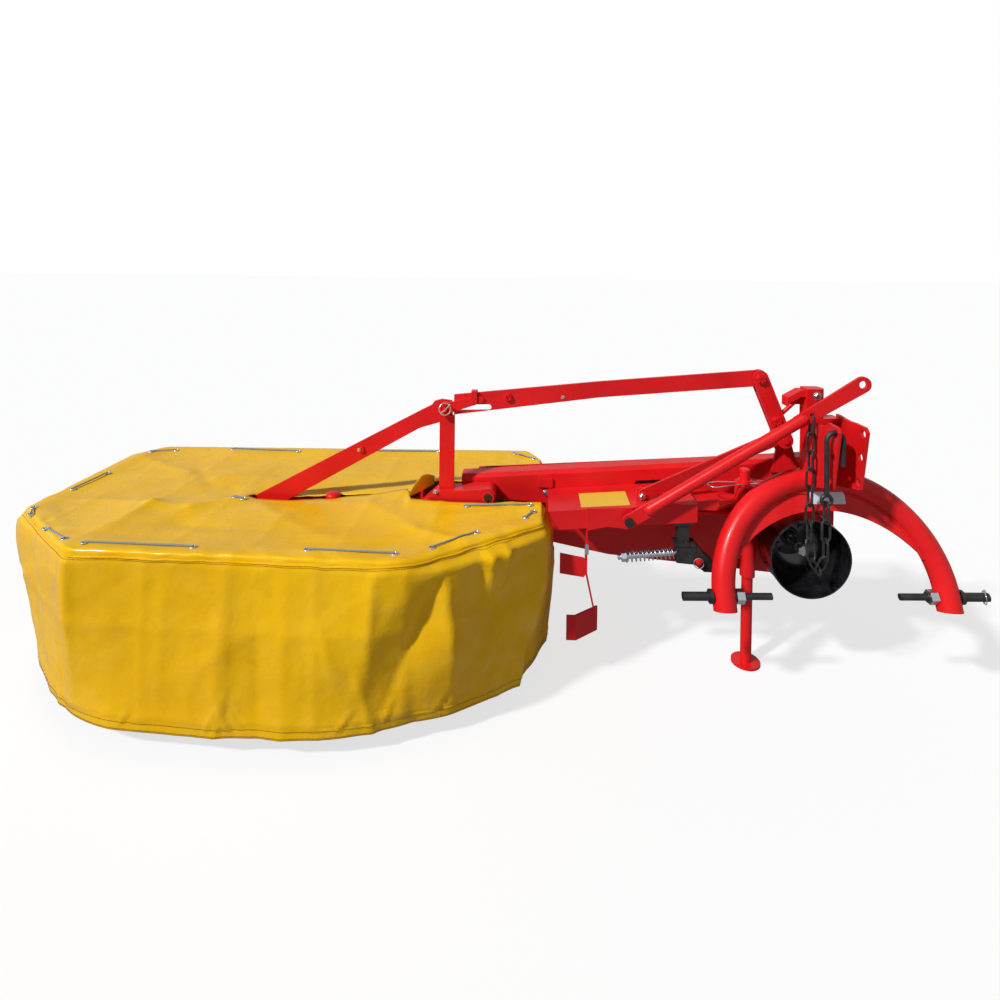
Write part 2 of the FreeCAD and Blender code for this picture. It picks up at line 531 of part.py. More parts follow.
def lift_bar():
    """Bar from the crank to the post of the cutting unit; its outer end is an open fork
    that holds the eye plate under a welded clamp."""
    y0 = CRANK_Y + CRANK_T + (CRANK_GAP - BAR_T) / 2
    y1 = y0 + BAR_T
    tx, tz = CRANK_TOP
    px, pz = POST_PIN
    end, mid = px + 34, (px + tx) / 2
    half = BAR_W / 2

    def axis(x):
        return tz + (x - tx) * (1051 - half - tz) / (-757 - tx)

    top = [(tx, tz + half), (mid, axis(mid) + half), (end, axis(mid) + half - (mid - end) * 0.114)]
    low = [(end, top[2][1] - BAR_W - 16), (mid, axis(mid) - half), (tx, tz - half)]
    body = fuse(slab_xz(top + low, y0, y1), disc_y(tx, tz, BAR_W, y0, y1))
    z_slot = top[2][1] - 50
    slot = bar_xz((end - 40, z_slot), (end + 130, z_slot + 6), 22, y0 - 1, y1 + 1)
    body = body.cut(slot).cut(disc_y(tx, tz, TOP_PIN_D + 0.1, 150, 300))
    eye = bar_xz(POST_PIN, (end + 100, z_slot + 36), 42, y0 - 8, y0, 26)
    eye = fuse(eye, disc_y(px, pz, 54, y0 - 8, y0)).cut(disc_y(px, pz, POST_EYE_D, 150, 300))
    clamp = box(end + 66, end + 88, y0 - 14, y1 + 6, z_slot + 20, z_slot + 68)
    head = castle_nut(end + 204, y0, top[2][1] + 204 * 0.114 - 27, 28, 12)
    put("lift_bar", fuse(body, eye, clamp, head), True)


def stay():
    """Transport stay: round tube, flattened and drilled at both ends."""
    fx, fz = STAY_FOOT
    ex, ez = STAY_EYE
    n = math.hypot(ex - fx, ez - fz)
    ux, uz = (ex - fx) / n, (ez - fz) / n

    def at(s):
        return (fx + ux * s, fz + uz * s)

    low, high, crimp = 78.0, n - 226.0, 12.0
    a, b = at(low), at(high)
    tube = rod((a[0], STAY_Y, a[1]), (b[0], STAY_Y, b[1]), STAY_D)
    cones = [Part.makeCone(STAY_D / 2, STAY_D / 2 - 7, crimp, V(b[0], STAY_Y, b[1]), V(ux, 0, uz)),
             Part.makeCone(STAY_D / 2, STAY_D / 2 - 7, crimp, V(a[0], STAY_Y, a[1]), V(-ux, 0, -uz))]
    y0, y1 = STAY_Y - STAY_T / 2, STAY_Y + STAY_T / 2
    body = fuse(tube, *cones)
    body = fuse(body, bar_xz(STAY_FOOT, at(low + 20), 46, y0, y1, 44),
                bar_xz(at(high - 20), STAY_EYE, 42, y0, y1, 54))
    body = body.cut(disc_y(fx, fz, 20.1, 0, 100)).cut(disc_y(ex, ez, 26, 0, 100))
    body = body.cut(disc_y(STAY_CHAIN[0], STAY_CHAIN[1], 16, 0, 100))
    put("stay_tube", body, True)
    bolt = fuse(disc_y(fx, fz, 20, y0 - 2, ARM_Y0 - 6 - SEAT), disc_y(fx, fz, 32, y0 - 10, y0 - SEAT),
                disc_y(fx, fz, 34, y1 + SEAT, ARM_Y0 - 6 - SEAT))
    put("stay_bolt", bolt, True)


def latch():
    """Breakaway latch: spring on a tilted rod, pressed on a casting under the arm."""
    y, tilt = 95.0, 6.5
    nut_x, block_x, z0 = LATCH_X, -500.0, 458.0
    run = block_x - nut_x

    def tilted(s):
        s = s.copy()
        s.rotate(V(0, 0, 0), V(0, 1, 0), -tilt)
        s.translate(V(nut_x, y, z0))
        return s

    spindle = fuse(rod((-12, 0, 0), (run + 40, 0, 0), 18), hexagon(0.0, 0, 0, 30, 16, "X"),
                   rod((16, 0, 0), (19, 0, 0), 42))
    put("latch_rod", tilted(spindle), True)
    turns, wire, coil_r = 11, 6.0, 17.0
    x0, x1 = 19.3 + wire / 2, run - wire / 2 - 3 * SEAT
    path = Part.makeHelix((x1 - x0) / turns, x1 - x0, coil_r)
    pts = [V(coil_r + wire / 2 * math.cos(math.pi * i / 3), 0,
             wire / 2 * math.sin(math.pi * i / 3)) for i in range(6)]
    coil = Part.Wire(path).makePipeShell([Part.makePolygon(pts + [pts[0]])], True, True)
    coil.rotate(V(0, 0, 0), V(0, 1, 0), 90)
    coil.translate(V(x0, 0, 0))
    put("latch_spring", tilted(coil), True)
    top, mid = z0 + 49, z0 + 22
    cast = slab_xz([(block_x, mid - 26), (block_x, mid + 27), (block_x + 14, top + 8),
                    (block_x + 72, top + 8),
                    (block_x + 98, mid + 2), (block_x + 126, mid - 18), (block_x + 130, mid - 54),
                    (block_x + 96, mid - 54), (block_x + 62, mid - 30)], y - 22, y + 22)
    knuckle = fuse(box(block_x - 6, block_x + 66, y - 26, y + 26, top + 6, top + 16),
                   rod((block_x + 34, y - 30, top + 17), (block_x + 34, y + 30, top + 17), 16))
    hx = block_x + 24
    hanger = box(hx - 20, hx + 20, y - 14, y + 14, top + 10, arm_under(hx - 20) - SEAT - 2)
    pad = slab_xz([(hx - 34, arm_under(hx - 34) - SEAT), (hx + 34, arm_under(hx + 34) - SEAT),
                   (hx + 34, arm_under(hx + 34) - 9), (hx - 34, arm_under(hx - 34) - 9)], ARM_Y0, y + 20)
    bolt = fuse(disc_y(block_x + 81, mid - 21, 20, y - 36, y - 20),
                disc_y(block_x + 81, mid - 21, 30, y - 28, y - 22))
    body = fuse(cast, knuckle, hanger, pad, bolt).cut(tilted(rod((run - 20, 0, 0), (run + 41, 0, 0), 18.4)))
    put("latch_block", body, True)


def guard_stay():
    """Folded strip under the arm that keeps the crop off the belt housing."""
    edge = COVER_X + COVER_W / 2
    reach = (LATCH_X - edge) * GUARD_SHARE
    x = edge + reach
    y0, t = ARM_Y0 + 5, 6.0
    top = arm_under(x) - SEAT
    strip = box(x, x + t, y0, y0 + 40, 396, top)

    def rect(cx, ya, yb, z):
        return Part.makePolygon([V(cx, ya, z), V(cx + t, ya, z), V(cx + t, yb, z), V(cx, yb, z),
                                 V(cx, ya, z)])

    taper = Part.makeLoft([rect(x, y0, y0 + 40, 398), rect(x + 34, y0 + 48, y0 + 66, 240)], True, True)
    tip = x - reach * 0.6
    tab = slab_xz([(tip, 469), (x - 6, 455), (x + t, 440), (x + t, 404), (x - 6, 387), (tip, 398)],
                  y0, y0 + t)
    zone = (161.0, 249.0)
    nose = box(x - reach * 0.43, x - 31, y0, y0 + t, *zone)
    wing = slab_xy([(x - 33, y0), (x - 31, y0), (x + 51, y0 + 68), (x + 47, y0 + 73), (x - 36, y0 + t)],
                   *zone)
    put("guard_stay", fuse(strip, taper, tab, nose, wing), True)


# ---- cutting unit -------------------------------------------------------
def neck(grow):
    """Arm of the cutting unit up to the hinge eye; 'grow' raises it to cut what stands on it."""
    x0, y0, y1 = DRUM_X1 + 62, UNIT_Y - 50, UNIT_Y + 30
    return slab_xz([(x0 - 60, BEAM_Z1 - 10), (x0 - 46, BEAM_Z1 + 4 + grow), (x0 - 4, BEAM_Z1 + 4 + grow),
                    (HINGE_X - 200, HINGE_Z + 10 + grow),
                    (HINGE_X, HINGE_Z + 27 + grow), (HINGE_X, HINGE_Z - 27), (x0, BEAM_Z0 + 14)], y0, y1)


def unit_beam():
    x0, x1 = DRUM_X2 - 90, DRUM_X1 + 90
    beam = box(x0, x1, UNIT_Y - BEAM_W / 2, UNIT_Y + BEAM_W / 2, BEAM_Z0, BEAM_Z1)
    eye = disc_y(HINGE_X, HINGE_Z, HINGE_D + 26, UNIT_Y - 50, UNIT_Y + 30)
    parts = [beam, neck(0.0), eye]
    for x in (DRUM_X1, DRUM_X2):
        parts.append(Part.makeCone(96, 118, 22, V(x, UNIT_Y, BEAM_Z0 - 22)))
        for i in range(6):
            a = math.radians(60 * i + 30)
            bx, by = x + 78 * math.cos(a), UNIT_Y + 43 * math.sin(a)
            parts.append(hexagon(bx, by, BEAM_Z1, 15, 6, "Z"))
    body = fuse(*parts).cut(disc_y(HINGE_X, HINGE_Z, HINGE_D + 0.1, 0, 600))
    for x in (DRUM_X1, DRUM_X2):
        body = body.cut(rod((x, UNIT_Y, BEAM_Z0 - 30), (x, UNIT_Y, BEAM_Z0 + 30), SHAFT_D + 0.1))
    put("unit_beam", body, True)


def unit_post():
    px, pz = POST_PIN
    w, y0 = UPRIGHT_W / 2, UPRIGHT_Y
    y1, y2 = y0 + UPRIGHT_T, y0 + UPRIGHT_T + 10
    cx = px + 6
    up = box(cx - w, cx + w, y0, y1, HINGE_Z, pz - 30)
    foot_x, foot_z = DRUM_X2 + 270, BEAM_Z1 + SEAT
    brace = slab_xz([(px - 100, pz - 18), (px - 56, pz + 5), (px - 45, pz + 20), (px - 18, pz + 28),
                     (px + 22, pz + 24),
                     (px + 26, pz - 50), (cx - w, pz - 60), (px - 100, pz - 84), (foot_x + 96, foot_z),
                     (foot_x - 56, foot_z)], y1, y2)
    stud = disc_y(px - 326, pz - 174, 22, y1 - 7, y1)
    toe = box(foot_x - 56, foot_x + 96, y1, y1 + 34, foot_z, foot_z + 5)
    pin = disc_y(px, pz, POST_PIN_D, CRANK_Y - 6, y1)
    body = fuse(up, brace, stud, toe, pin)
    put("unit_post", body.cut(neck(SEAT)), True)


def drums():
    for k, (x, nm) in enumerate(((DRUM_X1, "inner"), (DRUM_X2, "outer"))):
        r, rim = DRUM_D / 2, DISC_D / 2
        floor, top = 92.0, BEAM_Z0 - 28
        prof = [(0, floor), (rim - 18, floor), (rim, floor + 12), (rim, floor + 20), (r + 40, floor + 42),
                (r + 8, floor + 84), (r, floor + 120), (r, top - 22), (r - 15, top), (0, top)]
        f = poly([V(x + a, UNIT_Y, b) for a, b in prof])
        parts = [f.revolve(V(x, UNIT_Y, 0), V(0, 0, 1), 360),
                 rod((x, UNIT_Y, top), (x, UNIT_Y, BEAM_Z0 + 28), SHAFT_D),
                 rod((x, UNIT_Y, 30), (x, UNIT_Y, floor), SHAFT_D)]
        blades, stud_d, stud_r = [], 20.0, DISC_D / 2 - 42
        for i in range(4):
            rib = box(x + r - 3, x + r + 11, UNIT_Y - 4, UNIT_Y + 4, floor + 112, top - 40)
            rib.rotate(V(x, UNIT_Y, 0), V(0, 0, 1), 90 * i + 45)
            parts.append(rib)
        for i in range(BLADES):
            turn = 360.0 / BLADES * i + 60 * k
            blade = box(x + stud_r - 26, x + BLADE_REACH, UNIT_Y - BLADE_W / 2, UNIT_Y + BLADE_W / 2,
                        floor - SEAT - BLADE_T, floor - SEAT)
            blade = blade.cut(rod((x + stud_r, UNIT_Y, 60), (x + stud_r, UNIT_Y, 120), stud_d + 0.6))
            stud = fuse(rod((x + stud_r, UNIT_Y, floor - BLADE_T - 1), (x + stud_r, UNIT_Y, floor), stud_d),
                        rod((x + stud_r, UNIT_Y, floor - BLADE_T - 5),
                            (x + stud_r, UNIT_Y, floor - BLADE_T - 1), 34))
            for s in (blade, stud):
                s.rotate(V(x, UNIT_Y, 0), V(0, 0, 1), turn)
            blades.append(blade)
            parts.append(stud)
        put("knives_" + nm, Part.makeCompound(blades), True)
        prof = [(0, 0), (150, 0), (235, 22), (262, 52), (262, 58), (0, 58)]
        f = poly([V(x + a, UNIT_Y, b) for a, b in prof])
        skid = f.revolve(V(x, UNIT_Y, 0), V(0, 0, 1), 360)
        put("skid_" + nm, skid.cut(rod((x, UNIT_Y, 20), (x, UNIT_Y, 70), SHAFT_D + 0.1)), True)
        put("drum_" + nm, fuse(*parts), True)


# ---- cover --------------------------------------------------------------
def cover_plan(d):
    """Plan of the cover grown by d: long chamfers at the front corners, short at the back."""
    a, b = COVER_W / 2 + d, COVER_L / 2 + d
    k = d * 0.6
    return [(COVER_X - a, UNIT_Y - b + CUT_OUT_Y - k), (COVER_X - a + CUT_OUT_X - k, UNIT_Y - b),
            (COVER_X + a - CUT_IN_X + k, UNIT_Y - b), (COVER_X + a, UNIT_Y - b + CUT_IN_Y - k),
            (COVER_X + a, UNIT_Y + b - CUT_BACK_Y + k), (COVER_X + a - CUT_BACK_IN, UNIT_Y + b),
            (COVER_X - a + CUT_BACK_OUT, UNIT_Y + b), (COVER_X - a, UNIT_Y + b - CUT_BACK_Y + k)]


def cover_top(x):
    """Height of the cover's top, which falls towards the outer end."""
    return COVER_TOP_OUT + (COVER_TOP_IN - COVER_TOP_OUT) * (x - COVER_X + COVER_W / 2) / COVER_W


def cover_under(x):
    return cover_top(x) - SHELL


def below_top(drop):
    x0, x1 = COVER_X - COVER_W, COVER_X + COVER_W
    pts = [(x0, 0), (x1, 0), (x1, cover_top(x1) - drop), (x0, cover_top(x0) - drop)]
    return slab_xz(pts, UNIT_Y - COVER_L, UNIT_Y + COVER_L)


def cover():
    body = slab_xy(cover_plan(0), COVER_HEM, COVER_TOP_IN + 40).common(below_top(0))
    body = body.cut(slab_xy(cover_plan(-SHELL), COVER_HEM - 1, COVER_TOP_IN + 40).common(below_top(SHELL)))
    mouth = box(DRUM_X1 + 60, COVER_X + COVER_W, UNIT_Y - 75, BELT_Y1 + 20, 420, 800)
    slit = box(DRUM_X2 + 190, DRUM_X1 + 202, SLIT_Y0, SLIT_Y1, COVER_TOP_OUT - 40, 800)
    put("cover", body.cut(mouth).cut(slit), True)


def sloped_rail(x0, x1, y0, y1):
    """Rail just under the cover's top, which it follows."""
    gap = SEAT
    pts = [(x, cover_under(x) - gap) for x in (x0, x1)]
    pts += [(x1, cover_under(x1) - gap - RAIL_H), (x0, cover_under(x0) - gap - RAIL_H)]
    return slab_xz(pts, y0, y1)


def cover_frame():
    """Rails along the straight front and back edges, no longer than the beam that carries them."""
    inner = min(DRUM_X1 + 60, COVER_X + COVER_W / 2 - CUT_IN_X - 69)
    outer = max(DRUM_X2 - 60, COVER_X - COVER_W / 2 + CUT_OUT_X + 65)
    half, k = COVER_L / 2 - SHELL, RAIL_T / 2
    reach = UNIT_Y - BEAM_W / 2 - SEAT, UNIT_Y + BEAM_W / 2 + SEAT
    front = [sloped_rail(outer, inner, UNIT_Y - half + 6, UNIT_Y - half + 6 + RAIL_T)]
    back = [sloped_rail(outer, inner, UNIT_Y + half - 6 - RAIL_T, UNIT_Y + half - 6)]
    for x in (inner - k, COVER_X, outer + k):
        z = cover_under(x - k) - RAIL_H
        front.append(sloped_rail(x - k, x + k, UNIT_Y - half + 6, reach[0]))
        back.append(sloped_rail(x - k, x + k, reach[1], UNIT_Y + half - 6))
        front.append(box(x - k, x + k, reach[0] - 30, reach[0], BEAM_Z0 + 4, z + 4))
        back.append(box(x - k, x + k, reach[1], reach[1] + 30, BEAM_Z0 + 4, z + 4))
    put("cover_rails_front", fuse(*front), True)
    put("cover_rails_back", fuse(*back), True)


def build():
    headstock()
    leg()
    hook_and_chain()
    arm()
    belt_housing()
    pto()
    lift_frame()
    crank()
    lift_bar()
    stay()
    latch()
    guard_stay()
    unit_beam()
    unit_post()
    drums()
    cover()
    cover_frame()
    bb = FreeCAD.BoundBox()
    for s in NODES.values():
        bb.add(s.BoundBox)
    shift = V(-(bb.XMin + bb.XMax) / 2, -(bb.YMin + bb.YMax) / 2, -bb.ZMin)
    for name, s in NODES.items():
        s = s.copy()
        s.translate(shift)
        NODES[name] = s
        s.exportStep("parts/%s.step" % name)
    return shift


SHIFT = build()
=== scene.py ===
"""Looks of the drum mower: cloth cover, finishes, small fittings, studio and camera."""
import json
import math

import bpy
import numpy as np
from mathutils import Matrix, Vector


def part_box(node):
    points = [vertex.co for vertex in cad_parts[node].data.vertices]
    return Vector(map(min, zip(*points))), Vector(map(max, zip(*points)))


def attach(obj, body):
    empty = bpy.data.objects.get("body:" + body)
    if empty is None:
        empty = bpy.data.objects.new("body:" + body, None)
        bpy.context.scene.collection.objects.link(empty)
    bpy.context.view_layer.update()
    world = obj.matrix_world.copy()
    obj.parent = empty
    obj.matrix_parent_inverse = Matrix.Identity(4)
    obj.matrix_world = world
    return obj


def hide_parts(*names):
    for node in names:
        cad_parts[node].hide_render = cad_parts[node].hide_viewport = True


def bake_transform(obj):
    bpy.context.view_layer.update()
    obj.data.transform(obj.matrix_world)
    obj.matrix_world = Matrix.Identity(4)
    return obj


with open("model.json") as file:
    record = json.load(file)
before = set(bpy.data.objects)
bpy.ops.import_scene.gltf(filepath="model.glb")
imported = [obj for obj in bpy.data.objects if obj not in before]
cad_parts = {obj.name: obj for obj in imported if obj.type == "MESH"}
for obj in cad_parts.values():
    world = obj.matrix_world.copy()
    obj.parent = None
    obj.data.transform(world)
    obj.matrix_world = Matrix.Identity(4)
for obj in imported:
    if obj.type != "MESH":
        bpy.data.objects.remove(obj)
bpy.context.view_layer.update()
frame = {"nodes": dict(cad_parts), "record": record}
RECORD = frame["record"]
NODES = frame["nodes"]


# ---- the two frames of the machine ----
# machine(x, y, z): x = 0 half-way between the lower-link pins, y = 0 on their line.
# arm(x, y, z): the same axes before the arm trails back about the kingpin.
def mount(name):
    return Vector(next(m for m in RECORD["mounts"] if m["name"] == name)["pos_m"])


def joint(name):
    return next(j for j in RECORD["behaviour"]["joints"] if j["name"] == name)


PIN_MID = (mount("lower_link_pin_right") + mount("lower_link_pin_left")) / 2
KING = Vector(joint("arm_swing")["pos_m"])
ARM_Y = Vector(joint("unit_lift")["axis"]).normalized()
ARM_X = Vector((ARM_Y.y, -ARM_Y.x, 0))


def machine(x, y, z):
    return Vector((PIN_MID.x + x, PIN_MID.y + y, z))


def arm(x, y, z):
    dx, dy = x - (KING.x - PIN_MID.x), y - (KING.y - PIN_MID.y)
    return Vector((KING.x, KING.y, 0)) + ARM_X * dx + ARM_Y * dy + Vector((0, 0, z))


# ---- mesh helpers ----
def link(obj):
    bpy.context.scene.collection.objects.link(obj)
    return obj


def dress(obj, mat):
    obj.data.materials.clear()
    obj.data.materials.append(mat)


def mesh_object(name, verts, faces, smooth=True):
    me = bpy.data.meshes.new(name)
    me.from_pydata([tuple(v) for v in verts], [], faces)
    me.validate()
    me.polygons.foreach_set("use_smooth", [smooth] * len(me.polygons))
    return link(bpy.data.objects.new(name, me))


SHARP = math.radians(35)


def axes_of(axis):
    """The axis with two directions square to it, each of length 1."""
    axis = Vector(axis).normalized()
    u = axis.orthogonal().normalized()
    return axis, u, axis.cross(u)


def ring_about(middle, u, v, radius, sides):
    turns = (2 * math.pi * k / sides for k in range(sides))
    return [middle + (u * math.cos(w) + v * math.sin(w)) * radius for w in turns]


class Shapes:
    """Collects many small solids into one mesh."""

    def __init__(self):
        self.verts, self.faces = [], []

    def add(self, verts, faces):
        n = len(self.verts)
        self.verts += verts
        self.faces += [tuple(n + i for i in f) for f in faces]

    def skin(self, verts, sides, closed=False):
        """Joins the rings of corners one after the other, and caps the ends of an open row."""
        n, faces = len(verts) // sides, []
        for i in range(n if closed else n - 1):
            j = (i + 1) % n
            for k in range(sides):
                m = (k + 1) % sides
                faces.append((i * sides + k, i * sides + m, j * sides + m, j * sides + k))
        if not closed:
            faces.append(tuple(reversed(range(sides))))
            faces.append(tuple(range((n - 1) * sides, n * sides)))
        self.add(verts, faces)

    def tube(self, points, radius, sides, closed=False):
        """Round tube along points; its rings turn with the path."""
        n, verts, up = len(points), [], None
        for i, p in enumerate(points):
            a = points[(i - 1) % n] if closed or i else p
            b = points[(i + 1) % n] if closed or i < n - 1 else p
            t = (b - a).normalized()
            if up is None:
                up = t.orthogonal().normalized()
            up = (up - t * up.dot(t)).normalized()
            verts += ring_about(p, up, t.cross(up), radius, sides)
        self.skin(verts, sides, closed)

    def lathe(self, at, axis, profile, sides):
        """Profile of (distance along axis, radius), turned about the axis through at."""
        axis, u, v = axes_of(axis)
        verts = [p for h, r in profile for p in ring_about(at + axis * h, u, v, r, sides)]
        self.skin(verts, sides)

    def torus(self, at, axis, big, small, steps, sides):
        _, u, v = axes_of(axis)
        self.tube(ring_about(at, u, v, big, steps), small, sides, closed=True)

    def build(self, name, mat, body, smooth=True):
        obj = mesh_object(name, self.verts, self.faces, smooth)
        if smooth:
            shade_by_angle(obj)
        dress(obj, mat)
        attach(obj, body)
        return obj


def shade_by_angle(obj):
    """Marks as sharp each edge at which two faces meet at more than SHARP."""
    me = obj.data
    beside = {}
    for p in me.polygons:
        for key in p.edge_keys:
            beside.setdefault(key, []).append(p.normal.copy())
    pairs = [beside.get(e.key, []) for e in me.edges]
    sharp = [len(pair) == 2 and pair[0].angle(pair[1], 0) > SHARP for pair in pairs]
    attr = me.attributes.new("sharp_edge", "BOOLEAN", "EDGE")
    attr.data.foreach_set("value", sharp)


# ---- materials ----
class Nodes:
    """Short calls for the nodes of a material or of the world."""

    def __init__(self, owner):
        owner.use_nodes = True
        self.tree = owner.node_tree
        self.tree.nodes.clear()

    def node(self, kind, feeds=None, **values):
        """New node with its settings and socket values; feeds has sockets by name or number."""
        n = self.tree.nodes.new(kind)
        for k, v in values.items():
            if hasattr(n, k):
                setattr(n, k, v)
            else:
                n.inputs[k.replace("_", " ")].default_value = v
        for k, v in (feeds or {}).items():
            self.feed(n.inputs[k], v)
        return n

    def feed(self, socket, value):
        """Gives the socket a link, a number or a colour."""
        if isinstance(value, bpy.types.NodeSocket):
            self.tree.links.new(value, socket)
        elif isinstance(value, (int, float)):
            socket.default_value = value
        else:
            socket.default_value = (*value, 1.0)

    def mix(self, fac, a, b):
        return self.node("ShaderNodeMix", {0: fac, 6: a, 7: b}, data_type="RGBA").outputs[2]

    def maths(self, op, a, b):
        return self.node("ShaderNodeMath", {0: a, 1: b}, operation=op).outputs[0]

    def mix_shaders(self, fac, a, b, output):
        """Mixes two shaders and wires them to an output node of this kind."""
        m = self.node("ShaderNodeMixShader", {0: fac, 1: a.outputs[0], 2: b.outputs[0]})
        self.node(output, {"Surface": m.outputs[0]})


class Look(Nodes):
    """One procedural material."""

    def __init__(self, name):
        self.mat = bpy.data.materials.new(name)
        super().__init__(self.mat)
        self.shader = self.node("ShaderNodeBsdfPrincipled")
        self.node("ShaderNodeOutputMaterial", {"Surface": self.shader.outputs["BSDF"]})
        self.place = self.node("ShaderNodeTexCoord").outputs["Object"]

    def set(self, **values):
        """Sets or links the shader's sockets."""
        for k, v in values.items():
            self.feed(self.shader.inputs[k.replace("_", " ")], v)

    def noise(self, scale, detail, rough=0.5, stretch=None):
        place = self.place
        if stretch:
            place = self.node("ShaderNodeMapping", {"Vector": place}, Scale=stretch).outputs["Vector"]
        n = self.node("ShaderNodeTexNoise", {"Vector": place}, Scale=scale, Detail=detail, Roughness=rough)
        return n.outputs["Fac"]

    def ramp(self, source, *stops):
        """Two stops, each a position and a colour."""
        r = self.node("ShaderNodeValToRGB", {"Fac": source})
        for e, (position, color) in zip(r.color_ramp.elements, stops):
            e.position = position
            e.color = (*color, 1.0)
        return r.outputs["Color"]

    def span(self, source, lo, hi, to_lo, to_hi):
        ends = {"From Min": lo, "From Max": hi, "To Min": to_lo, "To Max": to_hi}
        return self.node("ShaderNodeMapRange", {"Value": source, **ends}).outputs["Result"]

    def bump(self, height, strength, distance, normal=None):
        feeds = {"Height": height} if normal is None else {"Height": height, "Normal": normal}
        return self.node("ShaderNodeBump", feeds, Strength=strength, Distance=distance).outputs["Normal"]

    def facing_up(self):
        """How far the surface faces up, -1 to 1."""
        normal = self.node("ShaderNodeNewGeometry").outputs["Normal"]
        return self.node("ShaderNodeSeparateXYZ", {"Vector": normal}).outputs["Z"]

    def wave(self, scale, direction, uneven):
        n = self.node("ShaderNodeTexWave", {"Vector": self.place, "Scale": scale, "Distortion": uneven},
                      bands_direction=direction)
        return n.outputs["Fac"]

    def round_edges(self, radius):
        return self.node("ShaderNodeBevel", samples=4, Radius=radius).outputs["Normal"]


def red_paint():
    """Sprayed gloss enamel: slow colour drift, orange peel, rounded edges, dust on top faces."""
    m = Look("red_paint")
    tone = m.ramp(m.noise(6.0, 4.0), (0.3, (0.62, 0.008, 0.01)), (0.7, (0.76, 0.012, 0.015)))
    flat = m.span(m.facing_up(), 0.8, 1.0, 0.0, 1.0)
    specks = m.span(m.noise(160.0, 6.0, 0.7), 0.56, 0.72, 0.0, 0.45)
    patches = m.span(m.noise(9.0, 3.0), 0.42, 0.68, 0.0, 1.0)
    dust = m.maths("MULTIPLY", m.maths("MULTIPLY", flat, specks), patches)
    m.set(Base_Color=m.mix(dust, tone, (0.5, 0.22, 0.14)),
          Roughness=m.span(m.noise(14.0, 5.0), 0.3, 0.75, 0.26, 0.42),
          Coat_Weight=0.06, Coat_Roughness=0.12, Specular_IOR_Level=0.22,
          Normal=m.bump(m.noise(420.0, 2.0), 0.1, 0.0006, m.round_edges(0.0016)))
    return m.mat


def yellow_cloth():
    """PVC-coated tarpaulin: fine weave, creases, faint soiling, and sides polished in patches."""
    m = Look("yellow_cloth")
    drift = m.ramp(m.noise(3.2, 5.0, 0.6), (0.3, (0.78, 0.425, 0.006)), (0.7, (0.9, 0.515, 0.008)))
    soil = m.span(m.noise(11.0, 8.0, 0.68), 0.58, 0.8, 0.0, 0.4)
    m.set(Base_Color=m.mix(soil, drift, (0.5, 0.24, 0.01)),
          Roughness=m.span(m.noise(24.0, 4.0), 0.25, 0.75, 0.24, 0.4),
          Specular_IOR_Level=0.24, Specular_Tint=(1.0, 0.8, 0.25), Coat_Roughness=0.14)
    tilted = m.span(m.facing_up(), 0.8, 0.95, 1.0, 0.0)
    polished = m.span(m.noise(13.0, 3.0), 0.46, 0.62, 0.0, 0.42)
    m.set(Coat_Weight=m.maths("MULTIPLY", tilted, polished))
    weave = m.maths("ADD", m.wave(190.0, "X", 0.6), m.wave(190.0, "Z", 0.6))
    crease = m.bump(m.noise(17.0, 6.0, 0.62), 0.5, 0.006)
    fine = m.bump(m.noise(70.0, 4.0, 0.6), 0.3, 0.0014, crease)
    m.set(Normal=m.bump(weave, 0.1, 0.0003, fine))
    return m.mat


def metal(name, color, rough, grain, streak=None):
    """Bare or plated metal; streak stretches its grain."""
    m = Look(name)
    tone = m.noise(grain, 5.0, 0.6, streak)
    dark = tuple(c * 0.78 for c in color)
    m.set(Base_Color=m.ramp(tone, (0.3, dark), (0.7, color)),
          Roughness=m.span(tone, 0.3, 0.7, rough * 0.8, min(1.0, rough * 1.3)),
          Metallic=1.0,
          Normal=m.bump(m.noise(grain * 6, 3.0), 0.12, 0.0004, m.round_edges(0.0008)))
    return m.mat


def dark_finish(name, color, rough, bump=0.15, coat=0.0):
    """Black oxide, paint or moulded plastic."""
    m = Look(name)
    tone = m.noise(22.0, 6.0, 0.65)
    pale = tuple(min(1.0, c * 2.2 + 0.01) for c in color)
    m.set(Base_Color=m.ramp(tone, (0.45, color), (0.85, pale)),
          Roughness=m.span(tone, 0.3, 0.8, rough, min(1.0, rough * 1.6)),
          Coat_Weight=coat, Coat_Roughness=0.08,
          Normal=m.bump(m.noise(260.0, 3.0), bump, 0.0005, m.round_edges(0.001)))
    return m.mat


def film(name, color):
    """Printed film of nearly one colour."""
    m = Look(name)
    m.set(Base_Color=m.ramp(m.noise(30.0, 3.0), (0.3, tuple(0.95 * c for c in color)), (0.7, color)),
          Roughness=0.38, Specular_IOR_Level=0.3,
          Normal=m.bump(m.noise(300.0, 2.0), 0.04, 0.0003))
    return m.mat


def rope_look():
    m = Look("blue_grey_rope")
    twist = m.wave(95.0, "DIAGONAL", 0.4)
    m.set(Base_Color=m.ramp(twist, (0.25, (0.05, 0.08, 0.11)), (0.7, (0.36, 0.44, 0.48))),
          Roughness=0.8, Sheen_Weight=0.2,
          Normal=m.bump(twist, 0.6, 0.0008))
    return m.mat


